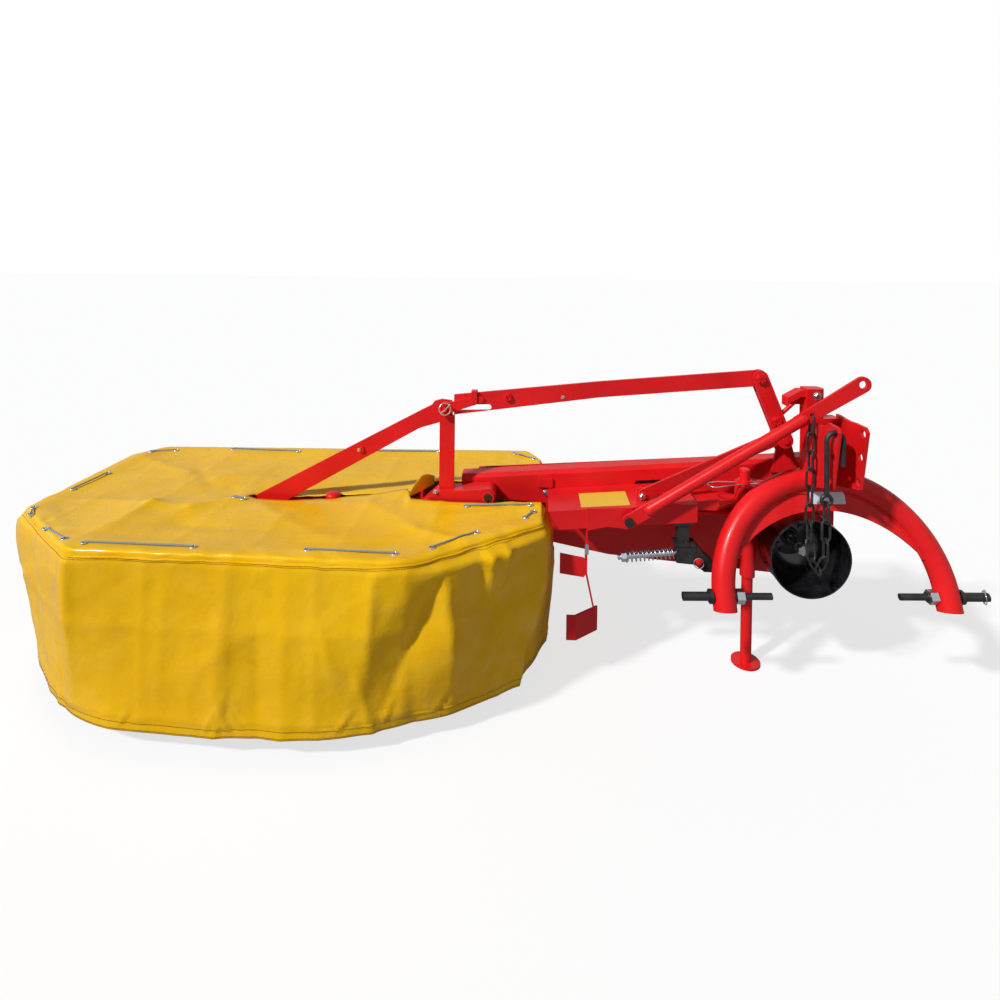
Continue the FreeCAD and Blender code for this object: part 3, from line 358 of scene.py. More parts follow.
RED = red_paint()
YELLOW = yellow_cloth()
ZINC = metal("zinc_plate", (0.62, 0.66, 0.72), 0.3, 40.0)
BARE = metal("bare_steel", (0.5, 0.49, 0.47), 0.38, 30.0, (1, 1, 6))
OXIDE = dark_finish("black_steel", (0.012, 0.012, 0.013), 0.38)
GLOSS = dark_finish("black_plastic", (0.006, 0.006, 0.007), 0.16, 0.06, 0.5)
ROPE = rope_look()
# Film of the white web label, tinted blue-grey: painted shade over the label's own white.
LABEL_FILM_PAINTED_SHADE = film("label_film_painted_shade", (0.62, 0.66, 0.74))
STICKER = film("yellow_film", (0.8, 0.5, 0.045))
GOLD = metal("passivated_zinc", (0.78, 0.66, 0.42), 0.32, 40.0)
SLOT_LOOKS = {"red_paint": RED, "yellow_cloth": YELLOW, "bare_steel": BARE, "zinc_plate": ZINC,
              "black_steel": OXIDE, "black_plastic": GLOSS}


def finish_cad_nodes():
    slots = {s["node"]: s["material_slot"] for s in RECORD["subparts"]}
    for name, obj in NODES.items():
        dress(obj, SLOT_LOOKS[slots[name]])


# ---- cloth cover ----
# Its own plane: x along the arm and y across it, from the middle of the cover.
def cover_facts():
    me = NODES["cover"].data
    pts = np.empty(len(me.vertices) * 3)
    me.vertices.foreach_get("co", pts)
    pts = pts.reshape(-1, 3)
    u, v, z = pts @ np.array(ARM_X), pts @ np.array(ARM_Y), pts[:, 2]
    mid = ARM_X * float((u.min() + u.max()) / 2) + ARM_Y * float((v.min() + v.max()) / 2)
    ends = [float(z[np.abs(u - end) < 0.002].max()) for end in (u.min(), u.max())]
    return mid, float(u.max() - u.min()) / 2, float(v.max() - v.min()) / 2, ends


COVER_MID, HALF_X, HALF_Y, (RIM_OUT, RIM_IN) = cover_facts()
HEM_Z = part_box("cover")[0].z
ROLL = 0.012                       # radius of the rolled top edge
EDGE = HALF_X - ROLL, HALF_Y - ROLL
FRONT_LEFT = (0.42, 0.352)         # corner cuts: along x, along y
FRONT_RIGHT = (0.4, 0.3)
BACK_LEFT, BACK_RIGHT = (0.08, 0.118), (0.054, 0.118)
SLIT_X = -0.175                    # the slit runs from here to the inner end
SLIT_Y = -0.055
NOTCH_Z = 0.43                     # below this the cloth closes again at the inner end
SLIT_END = SLIT_X - 0.01           # from here outwards the two halves are one
SLIT_FRONT = ([SLIT_END, SLIT_X + 0.005, 0.0, 0.14, 0.26, 0.39, 0.43, 0.455, 1.0],
              [SLIT_Y, -0.034, -0.034, -0.012, 0.004, 0.018, 0.022, -0.06, -0.075])
SLIT_BACK = ([SLIT_END, SLIT_X + 0.005, -0.02, 0.14, 0.26, 0.39, 0.44, 0.52, 0.6, 1.0],
             [SLIT_Y, -0.008, -0.008, 0.004, 0.014, 0.026, 0.034, 0.135, 0.14, 0.14])
CAP_X, CAP_R = 0.14, 0.028         # the beam's cap stands in the slit
CAP_REACH = 0.034                  # the slit widens round it over this length
CAP_FRONT, CAP_BACK = 0.012, 0.022 # by this much on its two sides
SLIT_GAP = 14                      # steps across the slit's open end
COLUMNS, ROWS, SKIRT_ROWS, OUTLINE_STEPS = 188, 32, 54, 1080
HEM_BAND, HEM_THICK = 0.03, 0.0015 # width of the turned hem, and how far it stands out
CLOTH = 0.0012                     # thickness
HEM_SOFT = 0.11                    # the corners round off this much on the way to the hem
RIM_SOFT = 0.018                   # and the rim's direction is averaged over this much
STORED = 0.265                     # pitch of the creases from folding it away


def cover_point(x, y, z):
    return COVER_MID + ARM_X * float(x) + ARM_Y * float(y) + Vector((0, 0, float(z)))


def held(share):
    """Share kept between 0 and 1."""
    return np.clip(share, 0, 1)


def smooth_max(p, q, k):
    return 0.5 * (p + q + np.sqrt((p - q) ** 2 + k * k))


def cut_edge(x, left_cut, right_cut, left_soft, right_soft):
    """y along the front edge, with its two corners cut off; the back edge is built as its mirror."""
    a, b = EDGE
    left = -b + left_cut[1] / left_cut[0] * (-a + left_cut[0] - x)
    right = -b + right_cut[1] / right_cut[0] * (x - a + right_cut[0])
    return smooth_max(smooth_max(-b + 0 * x, left, left_soft), right, right_soft)


def front_edge(x):
    return cut_edge(x, FRONT_LEFT, FRONT_RIGHT, 0.012, 0.03)


def back_edge(x):
    return -cut_edge(x, BACK_LEFT, BACK_RIGHT, 0.02, 0.02)


def slit_front(x):
    """Edge of the front half of the top: past the brace and the cap, then back for the arm's neck."""
    return np.interp(x, *SLIT_FRONT) - CAP_FRONT * bell(x - CAP_X, CAP_REACH)


def slit_back(x):
    """Edge of the rear half of the top: close to the front half, then cut away for the arm's neck."""
    return np.interp(x, *SLIT_BACK) + CAP_BACK * bell(x - CAP_X, CAP_REACH)


def bell(d, width):
    return np.exp(-(d / width) ** 2)


def crest(d, width, round_off=0.006):
    """A ridge with a crisp top, which dies away on both sides."""
    return np.exp(-1.4 * (np.sqrt(d * d + round_off ** 2) - round_off) / width)


def crinkle(x, y, z, scale, seed):
    """Smooth uneven waves between -1 and 1."""
    p = scale * (0.8 * x + 0.55 * y + 0.3 * z) + seed
    q = scale * (0.75 * y - 0.5 * x + 0.6 * z) + 2.3 * seed
    r = scale * (0.9 * z - 0.35 * x - 0.3 * y) + 3.7 * seed
    return (np.sin(p + 1.4 * np.sin(0.7 * q)) + np.sin(q + 1.4 * np.sin(0.7 * r))
            + np.sin(r + 1.4 * np.sin(0.7 * p))) / 3


def ridged(x, y, z, scale, seed):
    """Thin raised lines that wander, from 0 to 1."""
    return (1 - np.abs(crinkle(x, y, z, scale, seed))) ** 5


def stored_crease(d):
    """Height of the creases that folding has left, at each multiple of the pitch."""
    return crest(np.abs((d + STORED / 2) % STORED - STORED / 2), 0.022, 0.004)


def to_segment(x, y, p, q):
    """Distance to the segment pq, and how far along it the nearest point lies, 0 to 1."""
    (px, py), (qx, qy) = p, q
    dx, dy = qx - px, qy - py
    t = held(((x - px) * dx + (y - py) * dy) / (dx * dx + dy * dy))
    return np.hypot(x - px - t * dx, y - py - t * dy), t


# Creases of the top: from, to, height at each end, width.
TOP_CREASES = [
    ((-0.53, -0.47), (-0.48, -0.16), 0.004, 0.01, 0.05), ((-0.48, -0.16), (-0.33, -0.17), 0.01, 0.01, 0.06),
    ((-0.33, -0.17), (-0.2, -0.07), 0.01, 0.005, 0.04), ((-0.75, -0.1), (-0.48, -0.16), 0.005, 0.009, 0.05),
    ((-0.43, 0.11), (-0.25, -0.02), -0.006, -0.01, 0.03),
    ((-0.6, 0.34), (-0.43, 0.11), -0.004, -0.007, 0.03), ((-0.9, 0.4), (-0.55, 0.2), 0.006, 0.009, 0.04),
    ((-0.43, 0.11), (-0.2, 0.3), 0.01, 0.005, 0.05), ((0.1, -0.1), (0.02, -0.3), 0.005, 0.004, 0.05),
    ((0.3, -0.08), (0.52, -0.3), 0.007, 0.005, 0.05), ((0.52, -0.3), (0.7, -0.38), 0.008, 0.004, 0.04),
    ((0.1, 0.1), (0.3, 0.3), 0.005, 0.004, 0.05), ((-0.3, -0.3), (0.05, -0.36), -0.007, -0.004, 0.05),
    ((0.42, -0.44), (0.6, -0.24), -0.006, -0.004, 0.04),
]
# Lift of the slit's two lips along x, and how far in it reaches.
FRONT_LIP = ([-0.19, -0.14, 0.0, 0.14, 0.2, 0.42, 0.5, 0.94],
             [0.0, -0.014, -0.018, -0.01, -0.006, 0.012, 0.006, 0.002])
REAR_LIP = ([-0.19, -0.14, 0.0, 0.2, 0.42, 0.5, 0.94], [0.0, -0.01, -0.012, -0.008, -0.002, 0.004, 0.004])
FRONT_LIP_IN, REAR_LIP_IN = 0.075, 0.07
RUMPLE = 0.0034                    # crumpled edge, where the top is sewn to the skirt
OVER_RAILS = 0.0085                # the sheet sags no lower than this under the plane of the rim


def rim_plane(x):
    return RIM_OUT + (RIM_IN - RIM_OUT) * (x + HALF_X) / (2 * HALF_X)


def rim_height(x, y):
    """The rim follows the rails up along the arm and stands highest along the front."""
    lift = np.interp(x, [-HALF_X, -0.53, -0.1, 0.55, HALF_X], [0.0, 0.026, 0.019, 0.003, 0.004])
    return rim_plane(x) + lift * held(-y / 0.5)


def top_height(x, y, rear):
    """Height of the top sheet, in front of or behind the slit: slack between rim and beam, with creases."""
    front, back = front_edge(x), back_edge(x)
    rim = np.minimum(np.minimum(y - front, back - y), np.minimum(x + HALF_X, HALF_X - x))
    inner = held(rim / 0.05)
    h = rim_height(x, y) - 0.008 * held(rim / 0.1) ** 1.3
    h = h - 0.003 * held(rim / 0.16) * np.sin(np.pi * (x + HALF_X) / 0.46) ** 2
    for p, q, a, b, w in TOP_CREASES:
        d, t = to_segment(x, y, p, q)
        h = h + (a + (b - a) * t) * crest(d, w) * inner
    h = h + 0.0022 * inner * (stored_crease(x - 0.04) + stored_crease(y + 0.1))
    h = h + inner * (0.003 * crinkle(x, y, 0, 11, 3.1) + 0.0045 * ridged(x, y, 0, 9, 5.7))
    h = h + RUMPLE * crinkle(x, y, 0, 62, 0.9) * bell(rim - 0.01, 0.022) * (y < 0)
    if rear:
        lip, edge, reach = REAR_LIP, slit_back(x), REAR_LIP_IN
    else:
        lip, edge, reach = FRONT_LIP, slit_front(x), FRONT_LIP_IN
    h = h + np.interp(x, *lip) * bell(y - edge, reach) * (x > SLIT_X - 0.05)
    h = h + 0.0025 * crinkle(x, y, 0, 48, 4.4) * crest(y - slit_front(x), 0.03) * (x > SLIT_X)
    beside_beam = held((0.07 - np.abs(y)) / 0.03) * bell(x, 0.22)
    return np.maximum(h, rim_plane(x) - OVER_RAILS - 0.012 * beside_beam)


def edge_profile(marks, table, s):
    """Values along the outline: the table gives corner, metres past it, and the value there."""
    xs = [marks[k] + d for k, d, _ in table]
    return np.interp(s, xs, [v for _, _, v in table], period=marks[8])


# Offset of the hem, and of the belly below the rim.
HEM_OUT = [
    (0, 0.0, -0.06), (0, 0.2, -0.01), (0, 0.5, -0.008), (1, 0.02, 0.002), (1, 0.16, 0.022), (1, 0.6, 0.03),
    (1, 0.8, 0.02), (1, 0.98, -0.012), (2, 0.03, -0.035), (2, 0.14, -0.028), (2, 0.22, -0.02),
    (2, 0.36, -0.01), (3, 0.0, -0.02), (3, 0.12, -0.008), (3, 0.24, 0.008), (4, 0.0, 0.006),
    (5, 0.3, 0.018), (5, 1.4, 0.018), (6, 0.0, 0.0), (7, 0.1, -0.03), (7, 0.55, -0.07),
]
BELLY = [
    (0, 0.0, 0.04), (0, 0.2, 0.02), (0, 0.5, 0.006), (1, 0.2, 0.003), (1, 0.9, 0.004), (2, 0.1, 0.014),
    (2, 0.4, 0.022), (3, 0.05, 0.034), (3, 0.3, 0.036), (4, 0.0, 0.016), (5, 0.3, 0.01), (5, 1.4, 0.012),
    (6, 0.0, 0.012), (7, 0.2, 0.02), (7, 0.5, 0.038),
]
# Folds: corner, where it starts and ends along the edge, its span in height (0 top to 1 hem),
# how far it stands out, and its widths before and after the crest.
FOLDS = [
    (1, 0.012, 0.02, -0.2, 0.95, 0.012, 0.05, 0.03), (1, 0.32, 0.31, 0.1, 0.9, 0.005, 0.09, 0.06),
    (1, 0.505, 0.492, 0.02, 1.0, 0.011, 0.14, 0.05), (1, 0.6, 0.62, 0.1, 1.1, -0.006, 0.06, 0.07),
    (1, 0.7, 0.69, 0.0, 1.1, 0.007, 0.08, 0.08), (1, 0.965, 0.93, 0.0, 0.8, 0.016, 0.14, 0.035),
    (1, 0.8, 0.86, 0.3, 0.75, 0.008, 0.05, 0.05), (1, 0.9, 0.97, 0.55, 1.1, 0.008, 0.03, 0.02),
    (2, 0.25, 0.285, -0.1, 0.42, 0.026, 0.02, 0.06), (2, 0.345, 0.3, -0.1, 0.42, 0.022, 0.045, 0.02),
    (2, 0.3, 0.32, 0.4, 1.15, 0.01, 0.09, 0.06), (2, 0.43, 0.4, 0.66, 1.15, 0.024, 0.05, 0.02),
    (2, 0.47, 0.46, 0.2, 0.9, 0.01, 0.05, 0.05), (3, 0.17, 0.2, 0.1, 1.15, 0.018, 0.05, 0.04),
    (3, 0.34, 0.32, 0.1, 1.15, -0.012, 0.04, 0.05), (3, 0.5, 0.49, 0.0, 1.1, 0.012, 0.07, 0.05),
    (5, 0.22, 0.2, 0.05, 1.1, 0.013, 0.1, 0.04), (5, 0.52, 0.56, 0.1, 1.1, 0.01, 0.06, 0.08),
    (5, 0.85, 0.84, 0.0, 1.1, 0.016, 0.12, 0.04), (5, 1.2, 1.17, 0.1, 1.1, 0.01, 0.06, 0.06),
    (5, 1.52, 1.55, 0.0, 1.1, 0.014, 0.05, 0.1), (7, 0.15, 0.17, 0.1, 1.1, 0.012, 0.07, 0.04),
    (7, 0.38, 0.35, 0.0, 1.1, 0.014, 0.05, 0.07), (0, 0.12, 0.16, 0.2, 1.1, 0.008, 0.04, 0.05),
    (0, 0.36, 0.38, 0.1, 1.1, 0.007, 0.08, 0.05), (0, 0.22, 0.26, 0.1, 0.9, -0.006, 0.02, 0.03),
    (0, 0.48, 0.46, 0.3, 1.1, 0.006, 0.02, 0.03),
]
# Small gathered creases near the hem: corner, place along the edge, lean, length.
HEM_PLEATS = [
    (1, 0.47, 0.5, 0.1), (1, 0.5, 0.2, 0.14), (1, 0.53, -0.4, 0.11), (1, 0.57, -0.9, 0.15),
    (1, 0.2, 0.6, 0.08), (1, 0.86, 0.8, 0.1), (1, 0.99, 0.4, 0.1), (2, 0.1, 0.5, 0.1), (2, 0.27, 0.5, 0.09),
    (0, 0.3, -0.5, 0.09), (3, 0.2, 0.4, 0.12), (3, 0.42, -0.5, 0.12), (5, 0.3, 0.5, 0.1),
    (5, 0.95, -0.4, 0.12), (5, 1.35, 0.6, 0.1), (7, 0.3, 0.4, 0.1),
]
PLEAT = 0.0035
# The tent fold by the front right corner: both creases start here and part on the way down.
TENT_TOP, TENT_LOW = 0.1, 0.9
TENT_LEFT, TENT_RIGHT = (0.104, -0.075), (0.112, 0.15)
TENT_IN, TENT_OUT = 0.026, 0.042
TENT_BEFORE, TENT_LEAST, TENT_AFTER = 0.11, 0.012, 0.15    # widths along the edge
# The swag beside it: from, to and fade along the edge, then its bulge and its hollow.
SWAG_FROM, SWAG_TO, SWAG_FADE, SWAG_OUT, SWAG_IN = 0.02, 0.5, 0.08, 0.012, 0.016


def outward(outline):
    """Unit normals of a closed row of points."""
    t = np.roll(outline, -3, 0) - np.roll(outline, 3, 0)
    return np.stack([t[:, 1], -t[:, 0]], 1) / np.hypot(*t.T)[:, None]


class Cover:
    """Builds the cover's sheet and answers where its surface is."""

    def __init__(self):
        self.verts, self.faces = [], []
        self.xs = np.linspace(-HALF_X + ROLL, HALF_X - ROLL, COLUMNS)
        self.top()
        self.outline()
        self.skirt()

    def add(self, x, y, z):
        """Adds a vertex and gives its number."""
        self.verts.append((float(x), float(y), float(z)))
        return len(self.verts) - 1

    def top(self):
        t = np.linspace(0, 1, ROWS + 1)
        y0, y3 = front_edge(self.xs), back_edge(self.xs)
        cut = self.xs > SLIT_END
        y1, y2 = (np.where(cut, edge(self.xs), SLIT_Y) for edge in (slit_front, slit_back))
        self.near, self.far = [], []
        for i, x in enumerate(self.xs):
            halves = []
            for start, end, rear in ((y0[i], y1[i], False), (y2[i], y3[i], True)):
                ys = start + (end - start) * t
                halves.append([self.add(x, y, z) for y, z in zip(ys, top_height(x + 0 * t, ys, rear))])
            if not cut[i]:
                halves[1][0] = halves[0][-1]
            self.near.append(halves[0])
            self.far.append(halves[1])
        for grid in (self.near, self.far):
            for a, b in zip(grid, grid[1:]):
                self.faces += zip(a, b, b[1:], a[1:])

    def outline(self):
        """Vertices round the top, from the left front corner forwards, with the open end of the slit."""
        near, far = self.near, self.far
        ring = [column[0] for column in near] + near[-1][1:]
        a, b = self.verts[ring[-1]], self.verts[far[-1][0]]
        self.gap = range(len(ring), len(ring) + SLIT_GAP - 1)
        ring += [self.add(*(np.array(a) + (np.array(b) - a) * k / SLIT_GAP)) for k in range(1, SLIT_GAP)]
        ring += far[-1] + [column[-1] for column in far[-2::-1]]
        self.ring = ring + far[0][-2::-1] + near[0][-2:0:-1]
        p = np.array([self.verts[i] for i in self.ring])
        self.rim = p[:, 2]
        p = p[:, :2]
        step = np.hypot(*(np.roll(p, -1, 0) - p).T)
        self.s = np.concatenate([[0], np.cumsum(step)[:-1]])
        self.round = float(step.sum())
        a, b = EDGE
        corners = [(-a, -b + FRONT_LEFT[1]), (-a + FRONT_LEFT[0], -b), (a - FRONT_RIGHT[0], -b),
                   (a, -b + FRONT_RIGHT[1]), (a, b - BACK_RIGHT[1]), (a - BACK_RIGHT[0], b),
                   (-a + BACK_LEFT[0], b), (-a, b - BACK_LEFT[1])]
        self.marks = [float(self.s[np.argmin(np.hypot(*(p - c).T))]) for c in corners] + [self.round]
        self.base = p
        self.soft = self.smoothed(p, HEM_SOFT)
        n = self.smoothed(outward(p), RIM_SOFT)
        self.out = n / np.hypot(*n.T)[:, None]
        self.soft_out = outward(self.soft)

    def at(self, s, values):
        """Values along the outline, read at the places s."""
        return np.interp(s, self.s, values, period=self.round)

    def smoothed(self, values, reach):
        """Values along the outline, averaged over reach to each side."""
        even = np.linspace(0, self.round, OUTLINE_STEPS + 1)[:-1]
        flat = np.stack([self.at(even, v) for v in values.T], 1)
        span = int(3 * reach / (even[1] - even[0]))
        shifts = range(-span, span + 1)
        weights = [math.exp(-0.5 * (k * (even[1] - even[0]) / reach) ** 2) for k in shifts]
        total = sum(w * np.roll(flat, -k, 0) for k, w in zip(shifts, weights)) / sum(weights)
        return np.stack([np.interp(self.s, even, v, period=self.round) for v in total.T], 1)

    def around(self, s, mark):
        d = (s - mark) % self.round
        return np.where(d > self.round / 2, d - self.round, d)

    def tent(self, s, t):
        """The deep fold: a valley along its left crease, and a ridge along its right one."""
        share = held((t - TENT_TOP) / (TENT_LOW - TENT_TOP))
        e = self.around(s, self.marks[2])
        left, right = (top + (low - top) * share for top, low in (TENT_LEFT, TENT_RIGHT))
        wide = np.maximum(right - left, TENT_LEAST)
        falling = -TENT_IN * held(1 + (e - left) / TENT_BEFORE)
        rising = -TENT_IN + (TENT_IN + TENT_OUT) * (e - left) / wide
        fading = TENT_OUT * held(1 - (e - right) / TENT_AFTER)
        d = np.where(e < left, falling, np.where(e < right, rising, fading))
        return d * (0.85 * np.sin(np.pi * share ** 0.8) + 0.32 * share)

    def offset(self, s, t, drop, z):
        """How far the skirt stands out from the outline at height share t (0 rim, 1 hem)."""
        hem = edge_profile(self.marks, HEM_OUT, s)
        belly = edge_profile(self.marks, BELLY, s)
        d = hem * t ** 1.4 + belly * np.sin(np.pi * np.minimum(1.0, t ** 0.55)) + self.tent(s, t)
        for c, top, low, t0, t1, amp, before, after in FOLDS:
            share = held((t - t0) / (t1 - t0))
            e = self.around(s, self.marks[c] + top + (low - top) * share)
            grow = np.sin(np.pi * share ** 0.8) if t1 < 1.0 else np.minimum(1.0, share / 0.45) ** 0.9
            wide = 0.35 + 0.65 * np.minimum(1.0, share * 1.4)
            width = np.where(e < 0, before * wide, after * (0.5 + 0.5 * wide))
            d = d + amp * grow * crest(e, width)
        for c, at, tilt, reach in HEM_PLEATS:
            e = self.around(s, self.marks[c] + at + tilt * (drop - 0.03))
            rise = np.sin(np.pi * held(drop / reach))
            d = d + PLEAT * rise * (bell(e, 0.008) - 0.6 * bell(e - 0.016, 0.008))
        e = self.around(s, self.marks[2])
        swag = held((e - SWAG_FROM) / SWAG_FADE) * held((SWAG_TO - e) / SWAG_FADE)
        d = d + swag * (SWAG_OUT * bell(t - 0.07, 0.05) - SWAG_IN * bell(t - 0.32, 0.14))
        along = self.around(s, self.marks[1])
        d = d + 0.0026 * (stored_crease(along + 0.01) + stored_crease(z - 0.115)) * (t < 0.95)
        return d + HEM_THICK * (drop < HEM_BAND)

    def surface(self, s, t):
        """Points (n x 3) and outward normals of the skirt at outline places s and height shares t."""
        s = np.asarray(s, float) % self.round
        t = np.asarray(t, float) + 0 * s
        rim = self.at(s, self.rim) - ROLL
        wave = 0.003 * np.sin(s * 7.0) + 0.001 * np.sin(s * 19.0 + 1)
        low = HEM_Z + np.maximum(0.0, wave) * t
        z = rim + (low - rim) * t
        w = t ** 1.2
        pairs = ((self.base, self.soft), (self.out, self.soft_out))
        x, y, nx, ny = (self.at(s, near[:, k]) * (1 - w) + self.at(s, far[:, k]) * w
                        for near, far in pairs for k in (0, 1))
        drop = (rim - HEM_Z) * (1 - t)
        d = self.offset(s, t, drop, z)
        calm = 1 - 0.7 * t ** 3
        d = d + calm * (0.003 * crinkle(x, y, z, 12, 1.7) + 0.0055 * ridged(x, y, z, 8, 2.9))
        d = d + calm * 0.001 * crinkle(x, y, z, 60, 5.3)
        rough = RUMPLE * 0.5 * crinkle(x, y, z, 55, 2.2) * bell(t, 0.04) * (y < 0)
        d = ROLL + d * held(t / 0.05) + rough
        return np.stack([x + nx * d, y + ny * d, z], 1), np.stack([nx, ny, 0 * nx], 1)

    def trim_line(self, s, drop):
        """Points and normals on the skirt, drop below the rim (or above the hem if it is negative)."""
        s = np.asarray(s, float)
        rim = self.at(s % self.round, self.rim) - ROLL
        height = rim - HEM_Z
        t = np.where(drop >= 0, (drop - ROLL) / height, 1 + drop / height)
        p, n = self.surface(s, held(t))
        return [cover_point(*v) for v in p], [ARM_X * float(v[0]) + ARM_Y * float(v[1]) for v in n]

    def skirt(self):
        n = len(self.ring)
        grid = [self.ring]
        for w in (math.pi * k / 8 for k in (1, 2, 3, 4)):
            out, down = ROLL * math.sin(w), ROLL * (1 - math.cos(w))
            x, y = self.base.T
            rough = RUMPLE * crinkle(x, y, w, 55, 2.2) * (y < 0) * out / ROLL
            flat = self.base + self.out * (out + 0.6 * rough)[:, None]
            grid.append([self.add(*flat[k], self.rim[k] - down + 0.3 * rough[k]) for k in range(n)])
        u = np.linspace(0, 1, SKIRT_ROWS + 1)[1:]
        levels = list(u - 0.08 * np.sin(2 * np.pi * u))
        band = HEM_BAND / (RIM_OUT - HEM_Z)
        levels = [v for v in levels if abs(v - (1 - band)) > 0.006] + [1 - band - 0.002, 1 - band + 0.002]
        for t in sorted(levels):
            points, _ = self.surface(self.s, t)
            grid.append([self.add(*p) for p in points])
        for a, b in zip(grid, grid[1:]):
            for k in range(n):
                m = (k + 1) % n
                open_gap = k + 1 in self.gap or k in self.gap
                if open_gap and self.verts[b[k]][2] > NOTCH_Z:
                    continue
                self.faces.append((a[k], b[k], b[m], a[m]))

    def build(self):
        used = sorted({i for f in self.faces for i in f})
        new = {v: k for k, v in enumerate(used)}
        obj = mesh_object("cover_sheet", [cover_point(*self.verts[i]) for i in used],
                          [tuple(new[i] for i in f) for f in self.faces])
        dress(obj, YELLOW)
        return obj


# Lacing: pairs of eyelets on the top, in the cover's plane.
LACING = [
    ((-0.482, -0.503), (-0.133, -0.502)), ((-0.706, -0.385), (-0.566, -0.478)),
    ((-0.9, -0.205), (-0.868, -0.258)), ((-0.888, 0.165), (-0.905, -0.01)),
    ((-0.88, 0.445), (-0.78, 0.485)), ((-0.513, 0.505), (-0.188, 0.485)), ((0.162, 0.5), (0.472, 0.5)),
    ((0.222, -0.49), (0.492, -0.488)), ((0.6, -0.44), (0.728, -0.33)), ((0.672, -0.108), (0.903, -0.104)),
    ((0.888, -0.2), (0.915, -0.155)), ((0.827, 0.49), (0.915, 0.42)), ((-0.215, -0.075), (-0.18, -0.08)),
]
EYELET, EYELET_WIRE, LACE = 0.0095, 0.0026, 0.0028      # radii
LACE_STEPS = 10
UNDER_TOP = -0.004                                      # the ends of a lace lie under the sheet


def top_point(x, y, lift):
    height = top_height(np.float64(x), np.float64(y), y > slit_front(x))
    return cover_point(x, y, float(height) + lift)


def lacing():
    """Each lace runs over the top between two eyelets and dives through them."""
    rings, cords = Shapes(), Shapes()
    for a, b in LACING:
        for x, y in (a, b):
            rings.torus(top_point(x, y, 0.0022), (0, 0, 1), EYELET, EYELET_WIRE, 20, 8)
        start, end = top_point(*a, 0.0055), top_point(*b, 0.0055)
        pts = [top_point(*a, UNDER_TOP)]
        for k in range(LACE_STEPS + 1):
            taut = start.lerp(end, k / LACE_STEPS)
            lying = top_point(*(p + (q - p) * k / LACE_STEPS for p, q in zip(a, b)), LACE)
            pts.append(Vector((taut.x, taut.y, max(taut.z, lying.z))))
        pts.append(top_point(*b, UNDER_TOP))
        cords.tube(pts, LACE, 8)
    return pieces("unit", (rings, "cover_eyelets", ZINC), (cords, "cover_lacing", ROPE))


SEAM = [
    (0, 0.0, 0.018), (1, 0.0, 0.022), (1, 0.9, 0.02), (2, 0.05, 0.014), (3, 0.0, 0.014), (4, 0.0, 0.016),
    (5, 0.1, 0.022), (7, 0.0, 0.022),
]
STITCH_PITCH, STITCH = 0.0075, 0.0048
PIPING_R, THREAD_R, ON_CLOTH = 0.0026, 0.0006, 0.001
FLAP_FOOT, FLAP_HEEL, FLAP_TALL = (0.44, -0.046, 0.596), (0.52, 0.092, 0.598), 0.056


def open_end(cover):
    """Outline places where the slit leaves the skirt open."""
    return cover.s[cover.gap[0]] - 0.01, cover.s[cover.gap[-1]] + 0.01


def seam_drop(cover, s):
    """The seam between top and skirt lies close to the rim at the right and lower elsewhere."""
    return edge_profile(cover.marks, SEAM, s)


def piping(cover):
    lo, hi = open_end(cover)
    s = hi + (cover.round - (hi - lo)) * np.linspace(0, 1, 601)
    points, normals = cover.trim_line(s, seam_drop(cover, s % cover.round))
    bead = Shapes()
    bead.tube([p + n * ON_CLOTH for p, n in zip(points, normals)], PIPING_R, 6)
    return bead.build("cover_piping", YELLOW, "unit")


def stitching(cover):
    """Two rows of dark thread round the hem and one under the piping."""
    thread = Shapes()
    lo, hi = open_end(cover)
    start = np.arange(int(cover.round / STITCH_PITCH)) * STITCH_PITCH
    beside_slit = start[(start < lo) | (start > hi)]
    rows = [(start, -0.006 + 0 * start), (start, -(HEM_BAND - 0.003) + 0 * start),
            (beside_slit, seam_drop(cover, beside_slit) + 0.007)]
    for s, drop in rows:
        p, n = cover.trim_line(s, drop)
        q, _ = cover.trim_line(s + STITCH, drop)
        for a, b, out in zip(p, q, n):
            thread.tube([a + out * ON_CLOTH, b + out * ON_CLOTH], THREAD_R, 4)
    brown = dark_finish("brown_thread", (0.1, 0.045, 0.008), 0.8)
    return thread.build("cover_stitching", brown, "unit", False)


def thicken(obj, side):
    layer = obj.modifiers.new("thickness", "SOLIDIFY")
    layer.thickness, layer.offset = CLOTH, side


def flap():
    """Corner of the rear half, folded up beside the arm's neck."""
    foot, heel, steps = Vector(FLAP_FOOT), Vector(FLAP_HEEL), 12
    verts, faces = [], []
    for i in range(steps + 1):
        t = i / steps
        rise = FLAP_TALL * np.interp(t, [0, 0.25, 0.62, 0.8, 1], [0.002, 0.46, 1.0, 0.92, 0.62])
        for k in range(steps + 1):
            lean = 0.012 * math.sin(math.pi * t) * (k / steps) ** 2
            verts.append(cover_point(*(foot.lerp(heel, t) + Vector((-lean, 0, rise * k / steps)))))
    for i in range(steps):
        a, b = i * (steps + 1), (i + 1) * (steps + 1)
        faces += [(a + k, a + k + 1, b + k + 1, b + k) for k in range(steps)]
    obj = mesh_object("cover_flap", verts, faces)
    dress(obj, YELLOW)
    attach(obj, "unit")
    thicken(obj, 0.0)
    return obj


def make_cover():
    cover = Cover()
    sheet = cover.build()
    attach(sheet, "unit")
    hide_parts("cover")
    thicken(sheet, -1.0)
    eyelets, laces = lacing()
    trim = [piping(cover), stitching(cover), flap(), eyelets, laces]


def make_chain():
    """The chain hangs from the arm's stay to the hook; a copy of its links in black steel stands in place of
    the CAD part.
    """
    links = link(bpy.data.objects.new("chain_links", NODES["chain"].data.copy()))
    dress(links, OXIDE)
    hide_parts("chain")
    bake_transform(links)


